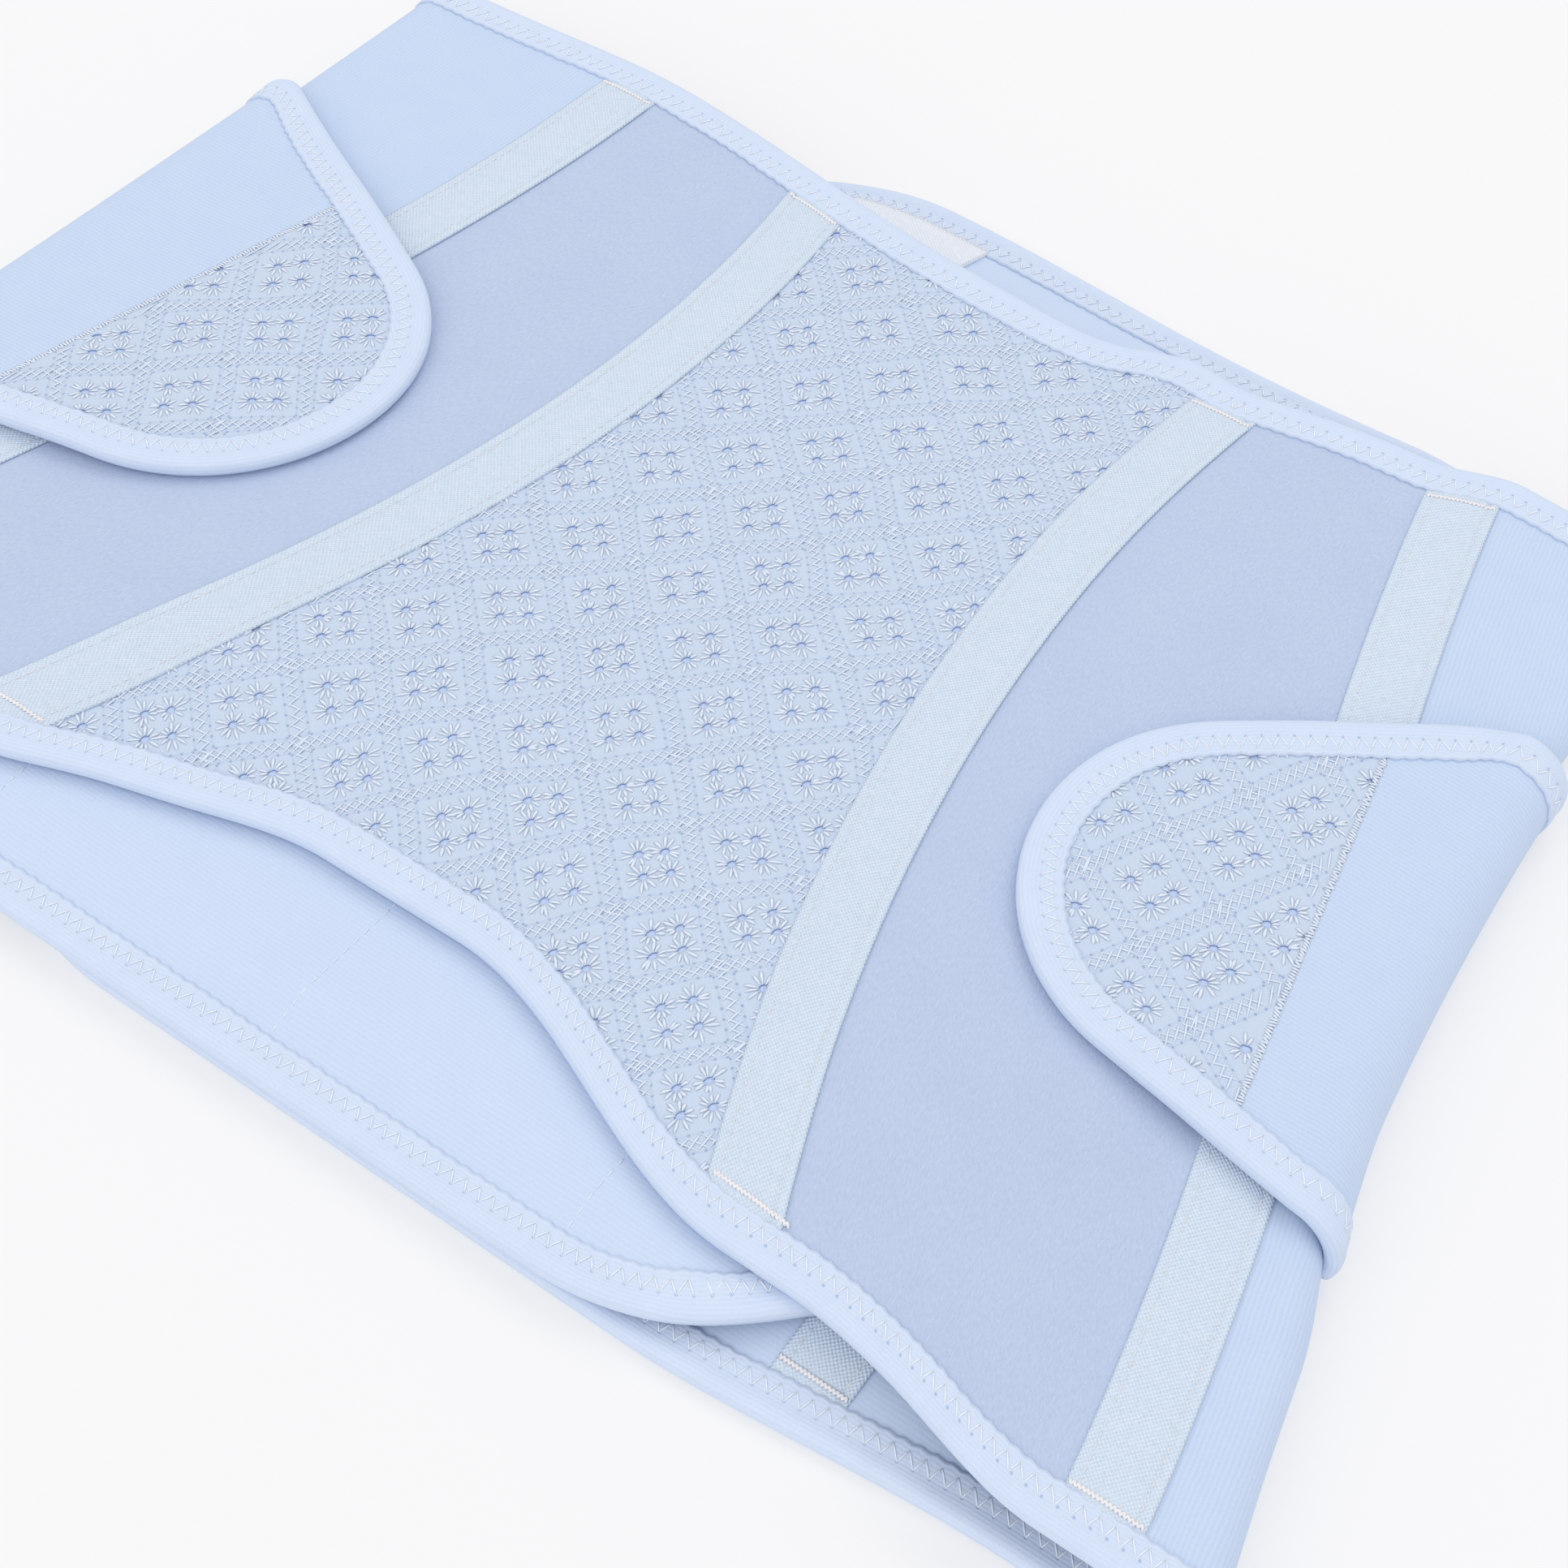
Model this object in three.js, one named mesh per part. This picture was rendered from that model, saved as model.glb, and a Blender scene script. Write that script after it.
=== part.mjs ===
// A postpartum belly band, lying closed on a table with its front up.
// x runs along the waist with 0 at the centre front, y up the body, z up from the table. Millimetres.
import * as THREE from "three";
import { mergeVertices } from "three/addons/utils/BufferGeometryUtils.js";

const { lerp, smoothstep } = THREE.MathUtils;

// Cloth and trim
const CLOTH = 1.6; // every panel, flap and wing
const GAP = 0.3; // between pieces that are sewn together
const TAPE = { width: 14, thickness: 1 }; // woven tape over each boned seam
const HOOK_TAPE = { from: -52, to: -20, thickness: 1.2 }; // on the outer flap's inside
const OUTER_FLAP_TAPE_X = 110.5;
const BINDING = { width: 8, cloth: 0.7 }; // knitted strip folded over every raw edge
const EDGE_INSET = BINDING.cloth + 2 * GAP; // from the binding's fold to the raw edge inside it
const LEG_GAP = 0.25; // between a binding's leg and the cloth
const LEG_OFFSET = CLOTH / 2 + LEG_GAP + BINDING.cloth / 2; // from the cloth's middle to a leg's
const BINDING_HALF = LEG_OFFSET + BINDING.cloth / 2;
const TAPE_END = BINDING.width + 1.4; // from an edge to the end of a tape
const TAPE_LIFT = CLOTH / 2 + GAP + TAPE.thickness / 2;

// How the cloth lies
const LAID_ON = CLOTH + GAP; // middle to middle of two cloths that lie on each other
const FLAP_AT_FOLD = CLOTH / 2 + LAID_ON; // a flap's middle at the side fold, on a wing's root
const FRONT_AT_FOLD = 13.8;
const FOLD_RADIUS = (FRONT_AT_FOLD - FLAP_AT_FOLD) / 2; // of the cloth's middle
const CROWN = { rise: 3.2, reach: 70 }; // how far the front stands above its folds
const SAG = { x: 27, y: 104, depth: 2.6, reach: 33 }; // the dip in the front's top edge
const WAVE = { height: 0.7, length: 130, reach: 60 }; // along the front's bottom edge

// Outline of the front: centre height, and how far the edge moves away towards the sides
const TOP_EDGE = { centre: 100.5, rise: 12, from: 5, to: 110 };
const BOTTOM_EDGE = { centre: -92, arch: 21, from: 15, to: 88, drop: 9, dropFrom: 100, dropTo: 155 };

// Side folds, as the outermost x at height y: at + lean * y + bow * y * y
const FOLDS = {
  left: { sign: -1, at: 169.2, lean: -0.039, bow: 0.0001 },
  right: { sign: 1, at: 154.9, lean: -0.148, bow: 0.0007 },
};
const WING_ROOM = 3.5; // between the fold line and the band's own fold, for the wing outside it

// Flaps under the front. reach is measured from the centre front, away from the flap's own fold.
const FLAPS = {
  left: { sign: -1, reach: 116, corner: 52, top: 90, bottom: -128.5, settled: -70, rampFrom: 25, rampTo: 70 },
  right: { sign: 1, reach: 80, corner: 47, top: 129, bottom: -128, settled: -105, rampFrom: 15, rampTo: 50 },
};
const FLAP_AT_SIDE = { top: 112.5, bottom: -122.5, from: -150 };
const EDGE_LIFT = { full: 13, none: 36 }; // distances from an edge over which its binding lifts the cloth
const OVER_TAPE = { rise: 1, from: 40, to: 85 }; // where the inner flap's end crosses a tape

// Wings: a rounded tip, then straight edges that spread towards the fold
const WINGS = {
  left: { tip: 75.5, middle: -4, upper: { radius: 38, slope: 0.53 }, lower: { radius: 44, slope: 0.18 } },
  right: { tip: 80, middle: -3.5, upper: { radius: 38, slope: 0.68 }, lower: { radius: 42, slope: 0.17 } },
};
const WING_SEAM = { at: 131, lean: -0.23 }; // where a wing's lace meets its jersey
const WING_ROOT = 15; // length of a wing under its flap
const WING_TIP_HALF = 5; // half the lace's first column at the tip
const WING_GAP = 0.5; // between the front's cloth and a wing's binding
const WING_LIFT = CLOTH / 2 + WING_GAP + BINDING_HALF; // from the middle of the front's cloth to the wing's
const WING_OVER_TAPE = { rise: TAPE.thickness + GAP, flat: 8, slope: 28 };

// Seams of the front, as x at four heights up the body, each under its own tape
const SEAM_HEIGHTS = [-110, -40, 30, 105];
const SEAMS = {
  left_outer_tape: [-149, -128, -110.5, -101.5],
  left_inner_tape: [-86.5, -58.5, -45, -48.5],
  right_inner_tape: [89.5, 63.5, 50.5, 51.5],
  right_outer_tape: [161, 143, 121, 100.5],
};

// Cells: how finely each stretch of cloth is cut
const CELLS = { lace: 10, loop: 5, side: 4, fold: 6, ramp: 5, flap: 8, corner: 4, tape: 2 };
const ROWS = { front: 13, flap: 12 };
const WING_CELLS = { root: 1, top: 4, lace: 8, rows: 9 };
const BOUND_TURN = 4; // cells of a wing's turn that its binding covers
const EDGE_CELLS = { front: 28, corner: 6, end: 4, wingSide: 6, wingTip: 7 };

const FINISHES = {
  jersey: { color: "#c5dbfa", roughness: 0.9 },
  loop: { color: "#bccbea", roughness: 0.95 },
  lace: { color: "#c3d4ea", roughness: 0.88 },
  tape: { color: "#d5e5f4", roughness: 0.7 },
  hook: { color: "#e8eff8", roughness: 0.6 },
};
const materials = {};
for (const [name, look] of Object.entries(FINISHES)) {
  materials[name] = new THREE.MeshStandardMaterial({ name, ...look, metalness: 0 });
}

// The cubic through a seam's four heights
function seamX(tape, y) {
  return SEAMS[tape].reduce((sum, x, i) => {
    const others = SEAM_HEIGHTS.filter((_, j) => j !== i);
    return sum + others.reduce((share, h) => (share * (y - h)) / (SEAM_HEIGHTS[i] - h), x);
  }, 0);
}

function topEdge(x) {
  return TOP_EDGE.centre + TOP_EDGE.rise * smoothstep(Math.abs(x), TOP_EDGE.from, TOP_EDGE.to);
}

function bottomEdge(x) {
  const e = BOTTOM_EDGE;
  const away = Math.abs(x);
  return e.centre - e.arch * smoothstep(away, e.from, e.to) - e.drop * smoothstep(away, e.dropFrom, e.dropTo);
}

function foldLine(side, y) {
  const f = FOLDS[side];
  return f.at + f.lean * y + f.bow * y * y;
}

function foldCentre(side, y) {
  return foldLine(side, y) - WING_ROOM - CLOTH / 2 - FOLD_RADIUS;
}

// Height of the middle of the front's cloth
function frontHeight(x, y) {
  const side = x < 0 ? "left" : "right";
  const fromFold = foldCentre(side, y) - Math.abs(x);
  const inside = smoothstep(fromFold, 0, CROWN.reach);
  const sag = SAG.depth * Math.exp(-(((x - SAG.x) / SAG.reach) ** 2) - ((y - SAG.y) / SAG.reach) ** 2);
  const low = smoothstep(bottomEdge(x) + WAVE.reach - y, 0, WAVE.reach);
  const wave = WAVE.height * low * inside * Math.sin((2 * Math.PI * x) / WAVE.length);
  return FRONT_AT_FOLD + CROWN.rise * inside - sag + wave;
}

// A flap's outline, where q is x measured towards its free end
function flapEdges(side, q) {
  const f = FLAPS[side];
  const settle = smoothstep(q, FLAP_AT_SIDE.from, f.settled);
  const past = Math.max(0, Math.min(f.corner, q - (f.reach - f.corner)));
  const round = f.corner - Math.sqrt(f.corner ** 2 - past ** 2);
  return {
    top: lerp(FLAP_AT_SIDE.top, f.top, settle) - round,
    bottom: lerp(FLAP_AT_SIDE.bottom, f.bottom, settle) + round,
  };
}

// How much the binding of the nearest edge lifts a flap, from 0 to 1
function edgeLift(side, q, y) {
  const f = FLAPS[side];
  const { top, bottom } = flapEdges(side, Math.min(q, f.reach - f.corner));
  const inCorner = Math.max(0, q - (f.reach - f.corner));
  const above = Math.max(0, y - (top - f.corner));
  const below = Math.max(0, bottom + f.corner - y);
  const toCorner = f.corner - Math.hypot(inCorner, Math.max(above, below));
  return 1 - smoothstep(toCorner, EDGE_LIFT.full, EDGE_LIFT.none);
}

// Height of the middle of a flap's cloth. The outer flap lies on the table, the inner one on the outer one.
function flapHeight(side, x, y) {
  const f = FLAPS[side];
  const toFold = foldCentre(side, y) - f.sign * x;
  const near = 1 - smoothstep(toFold, f.rampFrom, f.rampTo);
  const onTable = lerp(CLOTH / 2, BINDING_HALF, edgeLift(side, -x, y));
  const onOuter = 3 * BINDING_HALF + GAP + OVER_TAPE.rise * smoothstep(x, OVER_TAPE.from, OVER_TAPE.to);
  return lerp(side === "right" ? onTable : onOuter, FLAP_AT_FOLD, near);
}

function front(x, y) {
  return new THREE.Vector3(x, y, frontHeight(x, y));
}

// The turn at a side, from the front (angle 0) to the flap (angle pi)
function fold(side, angle, y) {
  const x = FOLDS[side].sign * (foldCentre(side, y) + FOLD_RADIUS * Math.sin(angle));
  return new THREE.Vector3(x, y, FLAP_AT_FOLD + FOLD_RADIUS * (1 + Math.cos(angle)));
}

function flap(side, q, y) {
  const x = -FLAPS[side].sign * q;
  return new THREE.Vector3(x, y, flapHeight(side, x, y));
}

// Where a slanted line of the cloth meets an edge, found by going back and forth between the two
function meet(xAt, edge) {
  let y = 0;
  for (let pass = 0; pass < 8; pass += 1) y = edge(xAt(y));
  return y;
}

// A piece cut from the front: columns lean with its seams, rows run from edge to edge
function between(xAt, low, high, place) {
  return (u, v) => {
    const column = (y) => xAt(u, y);
    const y = lerp(meet(column, low), meet(column, high), v);
    return place(column(y), y);
  };
}

// Joins stretches of cloth end to end: u runs through all their cells
function inTurn(stretches) {
  const cells = stretches.reduce((sum, s) => sum + s.cells, 0);
  const place = (u, v) => {
    let left = u * cells;
    for (const s of stretches) {
      if (left <= s.cells || s === stretches.at(-1)) return s.place(left / s.cells, v);
      left -= s.cells;
    }
  };
  return { cells, place };
}

function normalAt(place, u, v) {
  const step = 4e-3;
  const du = place(Math.min(1, u + step), v).sub(place(Math.max(0, u - step), v));
  const dv = place(u, Math.min(1, v + step)).sub(place(u, Math.max(0, v - step)));
  return du.cross(dv).normalize();
}

// A closed slab: a unit box cut into cells, each corner carried to where the cloth lies
function slab(name, finish, columns, rows, thickness, place) {
  const box = new THREE.BoxGeometry(1, 1, 1, columns, rows, 1);
  box.deleteAttribute("normal");
  box.deleteAttribute("uv");
  const geometry = mergeVertices(box);
  const corners = geometry.getAttribute("position");
  for (let i = 0; i < corners.count; i += 1) {
    const u = corners.getX(i) + 0.5;
    const v = corners.getY(i) + 0.5;
    const out = normalAt(place, u, v).multiplyScalar(corners.getZ(i) * thickness);
    const point = place(u, v).add(out);
    corners.setXYZ(i, point.x, point.y, point.z);
  }
  geometry.computeVertexNormals();
  const mesh = new THREE.Mesh(geometry, materials[finish]);
  mesh.name = name;
  return mesh;
}

// Binding section, from the end of one leg over the edge to the end of the other
const SECTION = [
  { inward: BINDING.width, up: -LEG_OFFSET },
  { inward: BINDING.cloth / 2, up: -LEG_OFFSET },
  { inward: BINDING.cloth / 2, up: LEG_OFFSET },
  { inward: BINDING.width, up: LEG_OFFSET },
];

// A strip folded over an edge. edge.place(u, depth) is the cloth's middle at a depth inside the edge.
function binding(name, edge) {
  const last = SECTION.length - 1;
  const across = (u, v) => {
    const leg = Math.min(last - 1, Math.floor(v * last));
    const t = v * last - leg;
    const inward = lerp(SECTION[leg].inward, SECTION[leg + 1].inward, t);
    const up = lerp(SECTION[leg].up, SECTION[leg + 1].up, t);
    const cloth = (a, b) => edge.place(a, b * BINDING.width);
    const normal = normalAt(cloth, u, inward / BINDING.width);
    return edge.place(u, inward).addScaledVector(normal, up);
  };
  return slab(name, "jersey", edge.cells, last, BINDING.cloth, across);
}

// Front panels, side by side between the seams
function frontPanel(name, finish, columns, leftTape, rightTape) {
  const xAt = (u, y) => lerp(seamX(leftTape, y) + GAP / 2, seamX(rightTape, y) - GAP / 2, u);
  const low = (x) => bottomEdge(x) + EDGE_INSET;
  const high = (x) => topEdge(x) - EDGE_INSET;
  return slab(name, finish, columns, ROWS.front, CLOTH, between(xAt, low, high, front));
}

function seamTape(name) {
  const xAt = (u, y) => {
    const slope = seamX(name, y + 1) - seamX(name, y);
    return seamX(name, y) + (u - 0.5) * TAPE.width * Math.hypot(1, slope);
  };
  const low = (x) => bottomEdge(x) + TAPE_END;
  const high = (x) => topEdge(x) - TAPE_END;
  const place = (x, y) => front(x, y).add(new THREE.Vector3(0, 0, TAPE_LIFT));
  return slab(name, "tape", CELLS.tape, ROWS.front, TAPE.thickness, between(xAt, low, high, place));
}

// A tape laid on the inside of the outer flap
function flapTape(name, finish, from, to, thickness) {
  const lift = CLOTH / 2 + GAP + thickness / 2;
  const xAt = (u) => lerp(from, to, u);
  const low = (x) => flapEdges("right", -x).bottom + TAPE_END;
  const high = (x) => flapEdges("right", -x).top - TAPE_END;
  const place = (x, y) => flap("right", -x, y).add(new THREE.Vector3(0, 0, lift));
  return slab(name, finish, CELLS.tape, ROWS.flap, thickness, between(xAt, low, high, place));
}

// The rounded corners of a flap's end, seen at a depth inside its outline
function flapCorner(side, q, depth) {
  const f = FLAPS[side];
  const past = q - (f.reach - f.corner);
  const half = Math.sqrt(Math.max(0, (f.corner - depth) ** 2 - past ** 2));
  return { top: f.top - f.corner + half, bottom: f.bottom + f.corner - half };
}

// One side of the band: from its seam on the front, round the fold, to the flap's rounded end
function sideAndFlap(name, side, tape) {
  const { sign, reach, corner, rampTo } = FLAPS[side];
  const seam = (y) => seamX(tape, y) + (sign * GAP) / 2;
  const centre = (y) => foldCentre(side, y);
  const low = (x) => bottomEdge(x) + EDGE_INSET;
  const high = (x) => topEdge(x) - EDGE_INSET;
  const flapLow = (q) => flapEdges(side, q).bottom + EDGE_INSET;
  const flapHigh = (q) => flapEdges(side, q).top - EDGE_INSET;
  const flapPlace = (q, y) => flap(side, q, y);
  const turn = (t, v) => {
    const from = between((u, y) => sign * centre(y), low, high, front)(0, v).y;
    const to = between((u, y) => -centre(y), flapLow, flapHigh, flapPlace)(0, v).y;
    return fold(side, t * Math.PI, lerp(from, to, t));
  };
  const onFront = (t, y) => lerp(seam(y), sign * centre(y), t);
  const onRamp = (t, y) => t * rampTo - centre(y);
  const onFlap = (t, y) => lerp(rampTo - centre(y), reach - corner, t);
  const onCorner = (t) => reach - corner + (corner - EDGE_INSET) * Math.sin((t * Math.PI) / 2);
  const cornerLow = (q) => flapCorner(side, q, EDGE_INSET).bottom;
  const cornerHigh = (q) => flapCorner(side, q, EDGE_INSET).top;
  const sheet = inTurn([
    { cells: CELLS.side, place: between(onFront, low, high, front) },
    { cells: CELLS.fold, place: turn },
    { cells: CELLS.ramp, place: between(onRamp, flapLow, flapHigh, flapPlace) },
    { cells: CELLS.flap, place: between(onFlap, flapLow, flapHigh, flapPlace) },
    { cells: CELLS.corner, place: between(onCorner, cornerLow, cornerHigh, flapPlace) },
  ]);
  return slab(name, "jersey", sheet.cells, ROWS.flap, CLOTH, sheet.place);
}

// Binding along the front's top or bottom edge and round both folds
function frontBinding(name, edgeY, flapY, inward) {
  const turn = (side) => (t, depth) => {
    const centre = (y) => foldCentre(side, y);
    const from = meet((y) => FOLDS[side].sign * centre(y), edgeY);
    const to = meet((y) => -centre(y), (q) => flapY(side, q));
    return fold(side, t * Math.PI, lerp(from, to, t) + inward * depth);
  };
  const along = (t, depth) => {
    const xAt = (y) => lerp(-foldCentre("left", y), foldCentre("right", y), t);
    const y = meet(xAt, edgeY) + inward * depth;
    return front(xAt(y), y);
  };
  return binding(name, inTurn([
    { cells: CELLS.fold, place: (t, depth) => turn("left")(1 - t, depth) },
    { cells: EDGE_CELLS.front, place: along },
    { cells: CELLS.fold, place: turn("right") },
  ]));
}

// Binding along a flap: its bottom edge, round its end and back along its top edge
function flapBinding(name, side) {
  const f = FLAPS[side];
  const start = f.reach - f.corner;
  const straight = (from, to, edge, inward) => (t, depth) => {
    const qAt = (y) => lerp(from(y), to(y), t);
    const y = meet(qAt, (q) => flapEdges(side, q)[edge]) + inward * depth;
    return flap(side, qAt(y), y);
  };
  const atFold = (y) => GAP - foldCentre(side, y);
  const atRamp = (y) => f.rampTo - foldCentre(side, y);
  const atCorner = () => start;
  const round = (turned, depth) => {
    const bend = Math.abs(turned);
    const q = start + (f.corner - depth) * Math.cos(bend);
    const centre = turned < 0 ? f.bottom + f.corner : f.top - f.corner;
    return flap(side, q, centre + (f.corner - depth) * Math.sin(turned));
  };
  const end = (t, depth) => flap(side, f.reach - depth, lerp(f.bottom + f.corner, f.top - f.corner, t));
  const quarter = Math.PI / 2;
  return binding(name, inTurn([
    { cells: CELLS.ramp, place: straight(atFold, atRamp, "bottom", 1) },
    { cells: CELLS.flap, place: straight(atRamp, atCorner, "bottom", 1) },
    { cells: EDGE_CELLS.corner, place: (t, depth) => round(quarter * (t - 1), depth) },
    { cells: EDGE_CELLS.end, place: end },
    { cells: EDGE_CELLS.corner, place: (t, depth) => round(quarter * t, depth) },
    { cells: CELLS.flap, place: straight(atCorner, atRamp, "top", -1) },
    { cells: CELLS.ramp, place: straight(atRamp, atFold, "top", -1) },
  ]));
}

// A wing's edge above (1) or below (-1) its middle, at a distance from the tip: an arc, then its tangent
function wingEdge(side, way, away) {
  const wing = WINGS[side];
  const { radius, slope } = way > 0 ? wing.upper : wing.lower;
  const steep = Math.hypot(1, slope);
  const arcEnd = radius * (1 - slope / steep);
  const half = away < arcEnd
    ? Math.sqrt(Math.max(0, radius ** 2 - (radius - away) ** 2))
    : radius / steep + slope * (away - arcEnd);
  return wing.middle + way * half;
}

// Height of the middle of a wing where it lies on the front, higher where it crosses the outer tape
function wingHeight(side, x, y) {
  const fromTape = Math.abs(x - seamX(`${side}_outer_tape`, y));
  const { rise, flat, slope } = WING_OVER_TAPE;
  const over = 1 - smoothstep(fromTape, flat, flat + slope);
  return frontHeight(x, y) + WING_LIFT + rise * over;
}

// The wing's own fold outside the band's fold: centre and radius of its turn at height y
function wingTurn(side, y) {
  const { sign } = FOLDS[side];
  const low = CLOTH / 2;
  let radius = FOLD_RADIUS;
  for (let pass = 0; pass < 6; pass += 1) {
    const x = foldLine(side, y) - CLOTH / 2 - radius;
    radius = (wingHeight(side, sign * x, y) - low) / 2;
  }
  return { x: foldLine(side, y) - CLOTH / 2 - radius, z: low + radius, radius };
}

// The three stretches of a wing. depth moves a point in from the wing's edge when way is 1 or -1.
function wingParts(side) {
  const { sign } = FOLDS[side];
  const top = (x, y) => new THREE.Vector3(sign * x, y, wingHeight(side, sign * x, y));
  const turn = (t, y) => {
    const c = wingTurn(side, y);
    const x = sign * (c.x + c.radius * Math.sin(t * Math.PI));
    return new THREE.Vector3(x, y, c.z + c.radius * Math.cos(t * Math.PI));
  };
  const root = (t, y) => new THREE.Vector3(sign * (wingTurn(side, y).x - t * WING_ROOT), y, CLOTH / 2);
  const edge = (way, x) => wingEdge(side, way, x - WINGS[side].tip);
  const foldEdge = (way) => meet((y) => wingTurn(side, y).x, (x) => edge(way, x));
  return { top, turn, root, edge, foldEdge, seam: (y) => WING_SEAM.at + WING_SEAM.lean * y };
}

function wingBody(side) {
  const w = wingParts(side);
  const low = w.foldEdge(-1) + EDGE_INSET;
  const high = w.foldEdge(1) - EDGE_INSET;
  const sheet = inTurn([
    { cells: WING_CELLS.root, place: (t, v) => w.root(1 - t, lerp(low, high, v)) },
    { cells: CELLS.fold, place: (t, v) => w.turn(1 - t, lerp(low, high, v)) },
    {
      cells: WING_CELLS.top,
      place: between(
        (t, y) => lerp(wingTurn(side, y).x, w.seam(y) + GAP / 2, t),
        (x) => w.edge(-1, x) + EDGE_INSET,
        (x) => w.edge(1, x) - EDGE_INSET,
        w.top,
      ),
    },
  ]);
  return slab(`${side}_wing`, "jersey", sheet.cells, WING_CELLS.rows, CLOTH, sheet.place);
}

function wingLace(side) {
  const w = wingParts(side);
  const { tip, upper, lower } = WINGS[side];
  const start = tip + EDGE_INSET;
  const first = Math.sqrt(WING_TIP_HALF ** 2 / (2 * upper.radius) / (WING_SEAM.at - start));
  const place = between(
    (u, y) => lerp(start, w.seam(y) - GAP / 2, lerp(first, 1, u) ** 2),
    (x) => wingEdge(side, -1, x - start) + EDGE_INSET * smoothstep(x - start, 0, lower.radius),
    (x) => wingEdge(side, 1, x - start) - EDGE_INSET * smoothstep(x - start, 0, upper.radius),
    w.top,
  );
  return slab(`${side}_wing_lace`, "lace", WING_CELLS.lace, WING_CELLS.rows, CLOTH, place);
}

// Binding round a wing: from low on the fold along the lower edge, round the tip and back
function wingBinding(side) {
  const w = wingParts(side);
  const { tip, middle, upper, lower } = WINGS[side];
  const stretch = (way) => {
    const edge = way > 0 ? upper : lower;
    const steep = Math.hypot(1, edge.slope);
    const arcEnd = tip + edge.radius * (1 - edge.slope / steep);
    const lean = Math.atan(edge.slope);
    const turn = (t, depth) => w.turn(((1 - t) * BOUND_TURN) / CELLS.fold, w.foldEdge(way) - way * depth);
    const straight = (t, depth) => {
      const xAt = (y) => lerp(wingTurn(side, y).x, arcEnd, t);
      const slant = smoothstep(t, 0, 0.3);
      const edgeY = meet(xAt, (x) => w.edge(way, x));
      const y = edgeY - way * depth * lerp(1, Math.cos(lean), slant);
      return w.top(xAt(y) + slant * depth * Math.sin(lean), y);
    };
    const round = (t, depth) => {
      const angle = lerp(Math.PI / 2 - lean, 0, t);
      const radius = edge.radius - depth;
      const x = tip + edge.radius - radius * Math.cos(angle);
      return w.top(x, middle + way * radius * Math.sin(angle));
    };
    return [
      { cells: BOUND_TURN, place: turn },
      { cells: EDGE_CELLS.wingSide, place: straight },
      { cells: EDGE_CELLS.wingTip, place: round },
    ];
  };
  const back = stretch(1).reverse();
  const returning = back.map((s) => ({ cells: s.cells, place: (t, depth) => s.place(1 - t, depth) }));
  return binding(`${side}_wing_binding`, inTurn([...stretch(-1), ...returning]));
}

const band = new THREE.Group();
band.name = "belly_band";
band.add(
  frontPanel("lace_panel", "lace", CELLS.lace, "left_inner_tape", "right_inner_tape"),
  frontPanel("left_loop_panel", "loop", CELLS.loop, "left_outer_tape", "left_inner_tape"),
  frontPanel("right_loop_panel", "loop", CELLS.loop, "right_inner_tape", "right_outer_tape"),
  sideAndFlap("left_side_and_inner_flap", "left", "left_outer_tape"),
  sideAndFlap("right_side_and_outer_flap", "right", "right_outer_tape"),
  frontBinding("front_top_binding", topEdge, (side, q) => flapEdges(side, q).top, -1),
  frontBinding("front_bottom_binding", bottomEdge, (side, q) => flapEdges(side, q).bottom, 1),
  flapBinding("inner_flap_binding", "left"),
  flapBinding("outer_flap_binding", "right"),
  flapTape("hook_tape", "hook", HOOK_TAPE.from, HOOK_TAPE.to, HOOK_TAPE.thickness),
  flapTape(
    "outer_flap_tape",
    "tape",
    OUTER_FLAP_TAPE_X - TAPE.width / 2,
    OUTER_FLAP_TAPE_X + TAPE.width / 2,
    TAPE.thickness,
  ),
);
for (const name of Object.keys(SEAMS)) band.add(seamTape(name));
for (const side of Object.keys(FOLDS)) band.add(wingBody(side), wingLace(side), wingBinding(side));

export default band;
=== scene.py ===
import bisect
import functools
import math
import random

import bmesh
import bpy
from mathutils import Matrix, Quaternion, Vector, noise


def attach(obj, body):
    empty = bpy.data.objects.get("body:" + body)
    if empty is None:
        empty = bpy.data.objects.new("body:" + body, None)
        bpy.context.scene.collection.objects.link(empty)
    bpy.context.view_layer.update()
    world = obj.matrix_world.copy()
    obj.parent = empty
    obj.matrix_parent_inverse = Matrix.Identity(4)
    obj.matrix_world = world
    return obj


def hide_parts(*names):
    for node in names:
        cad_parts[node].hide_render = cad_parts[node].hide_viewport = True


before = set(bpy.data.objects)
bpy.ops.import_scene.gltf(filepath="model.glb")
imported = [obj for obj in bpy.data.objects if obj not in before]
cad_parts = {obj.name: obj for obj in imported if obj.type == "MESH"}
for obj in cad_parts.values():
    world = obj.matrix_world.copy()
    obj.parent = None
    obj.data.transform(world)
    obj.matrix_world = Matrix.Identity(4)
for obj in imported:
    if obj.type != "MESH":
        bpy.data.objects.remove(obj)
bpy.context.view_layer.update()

mm = 0.001
dice = random.Random(7)  # one seeded source for every small irregularity


def lerp(a, b, t):
    return a + (b - a) * t


def ease(x, low, high):
    t = min(1.0, max(0.0, (x - low) / (high - low)))
    return t * t * (3 - 2 * t)


def wander(x, y, size):  # smooth noise from -1 to 1, with bumps about size mm apart
    return noise.noise(Vector((x / size, y / size, 0.37)))


def linear(code):
    channels = [int(code[i:i + 2], 16) / 255 for i in (1, 3, 5)]
    return [c / 12.92 if c <= 0.04045 else ((c + 0.055) / 1.055) ** 2.4 for c in channels] + [1.0]


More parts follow.
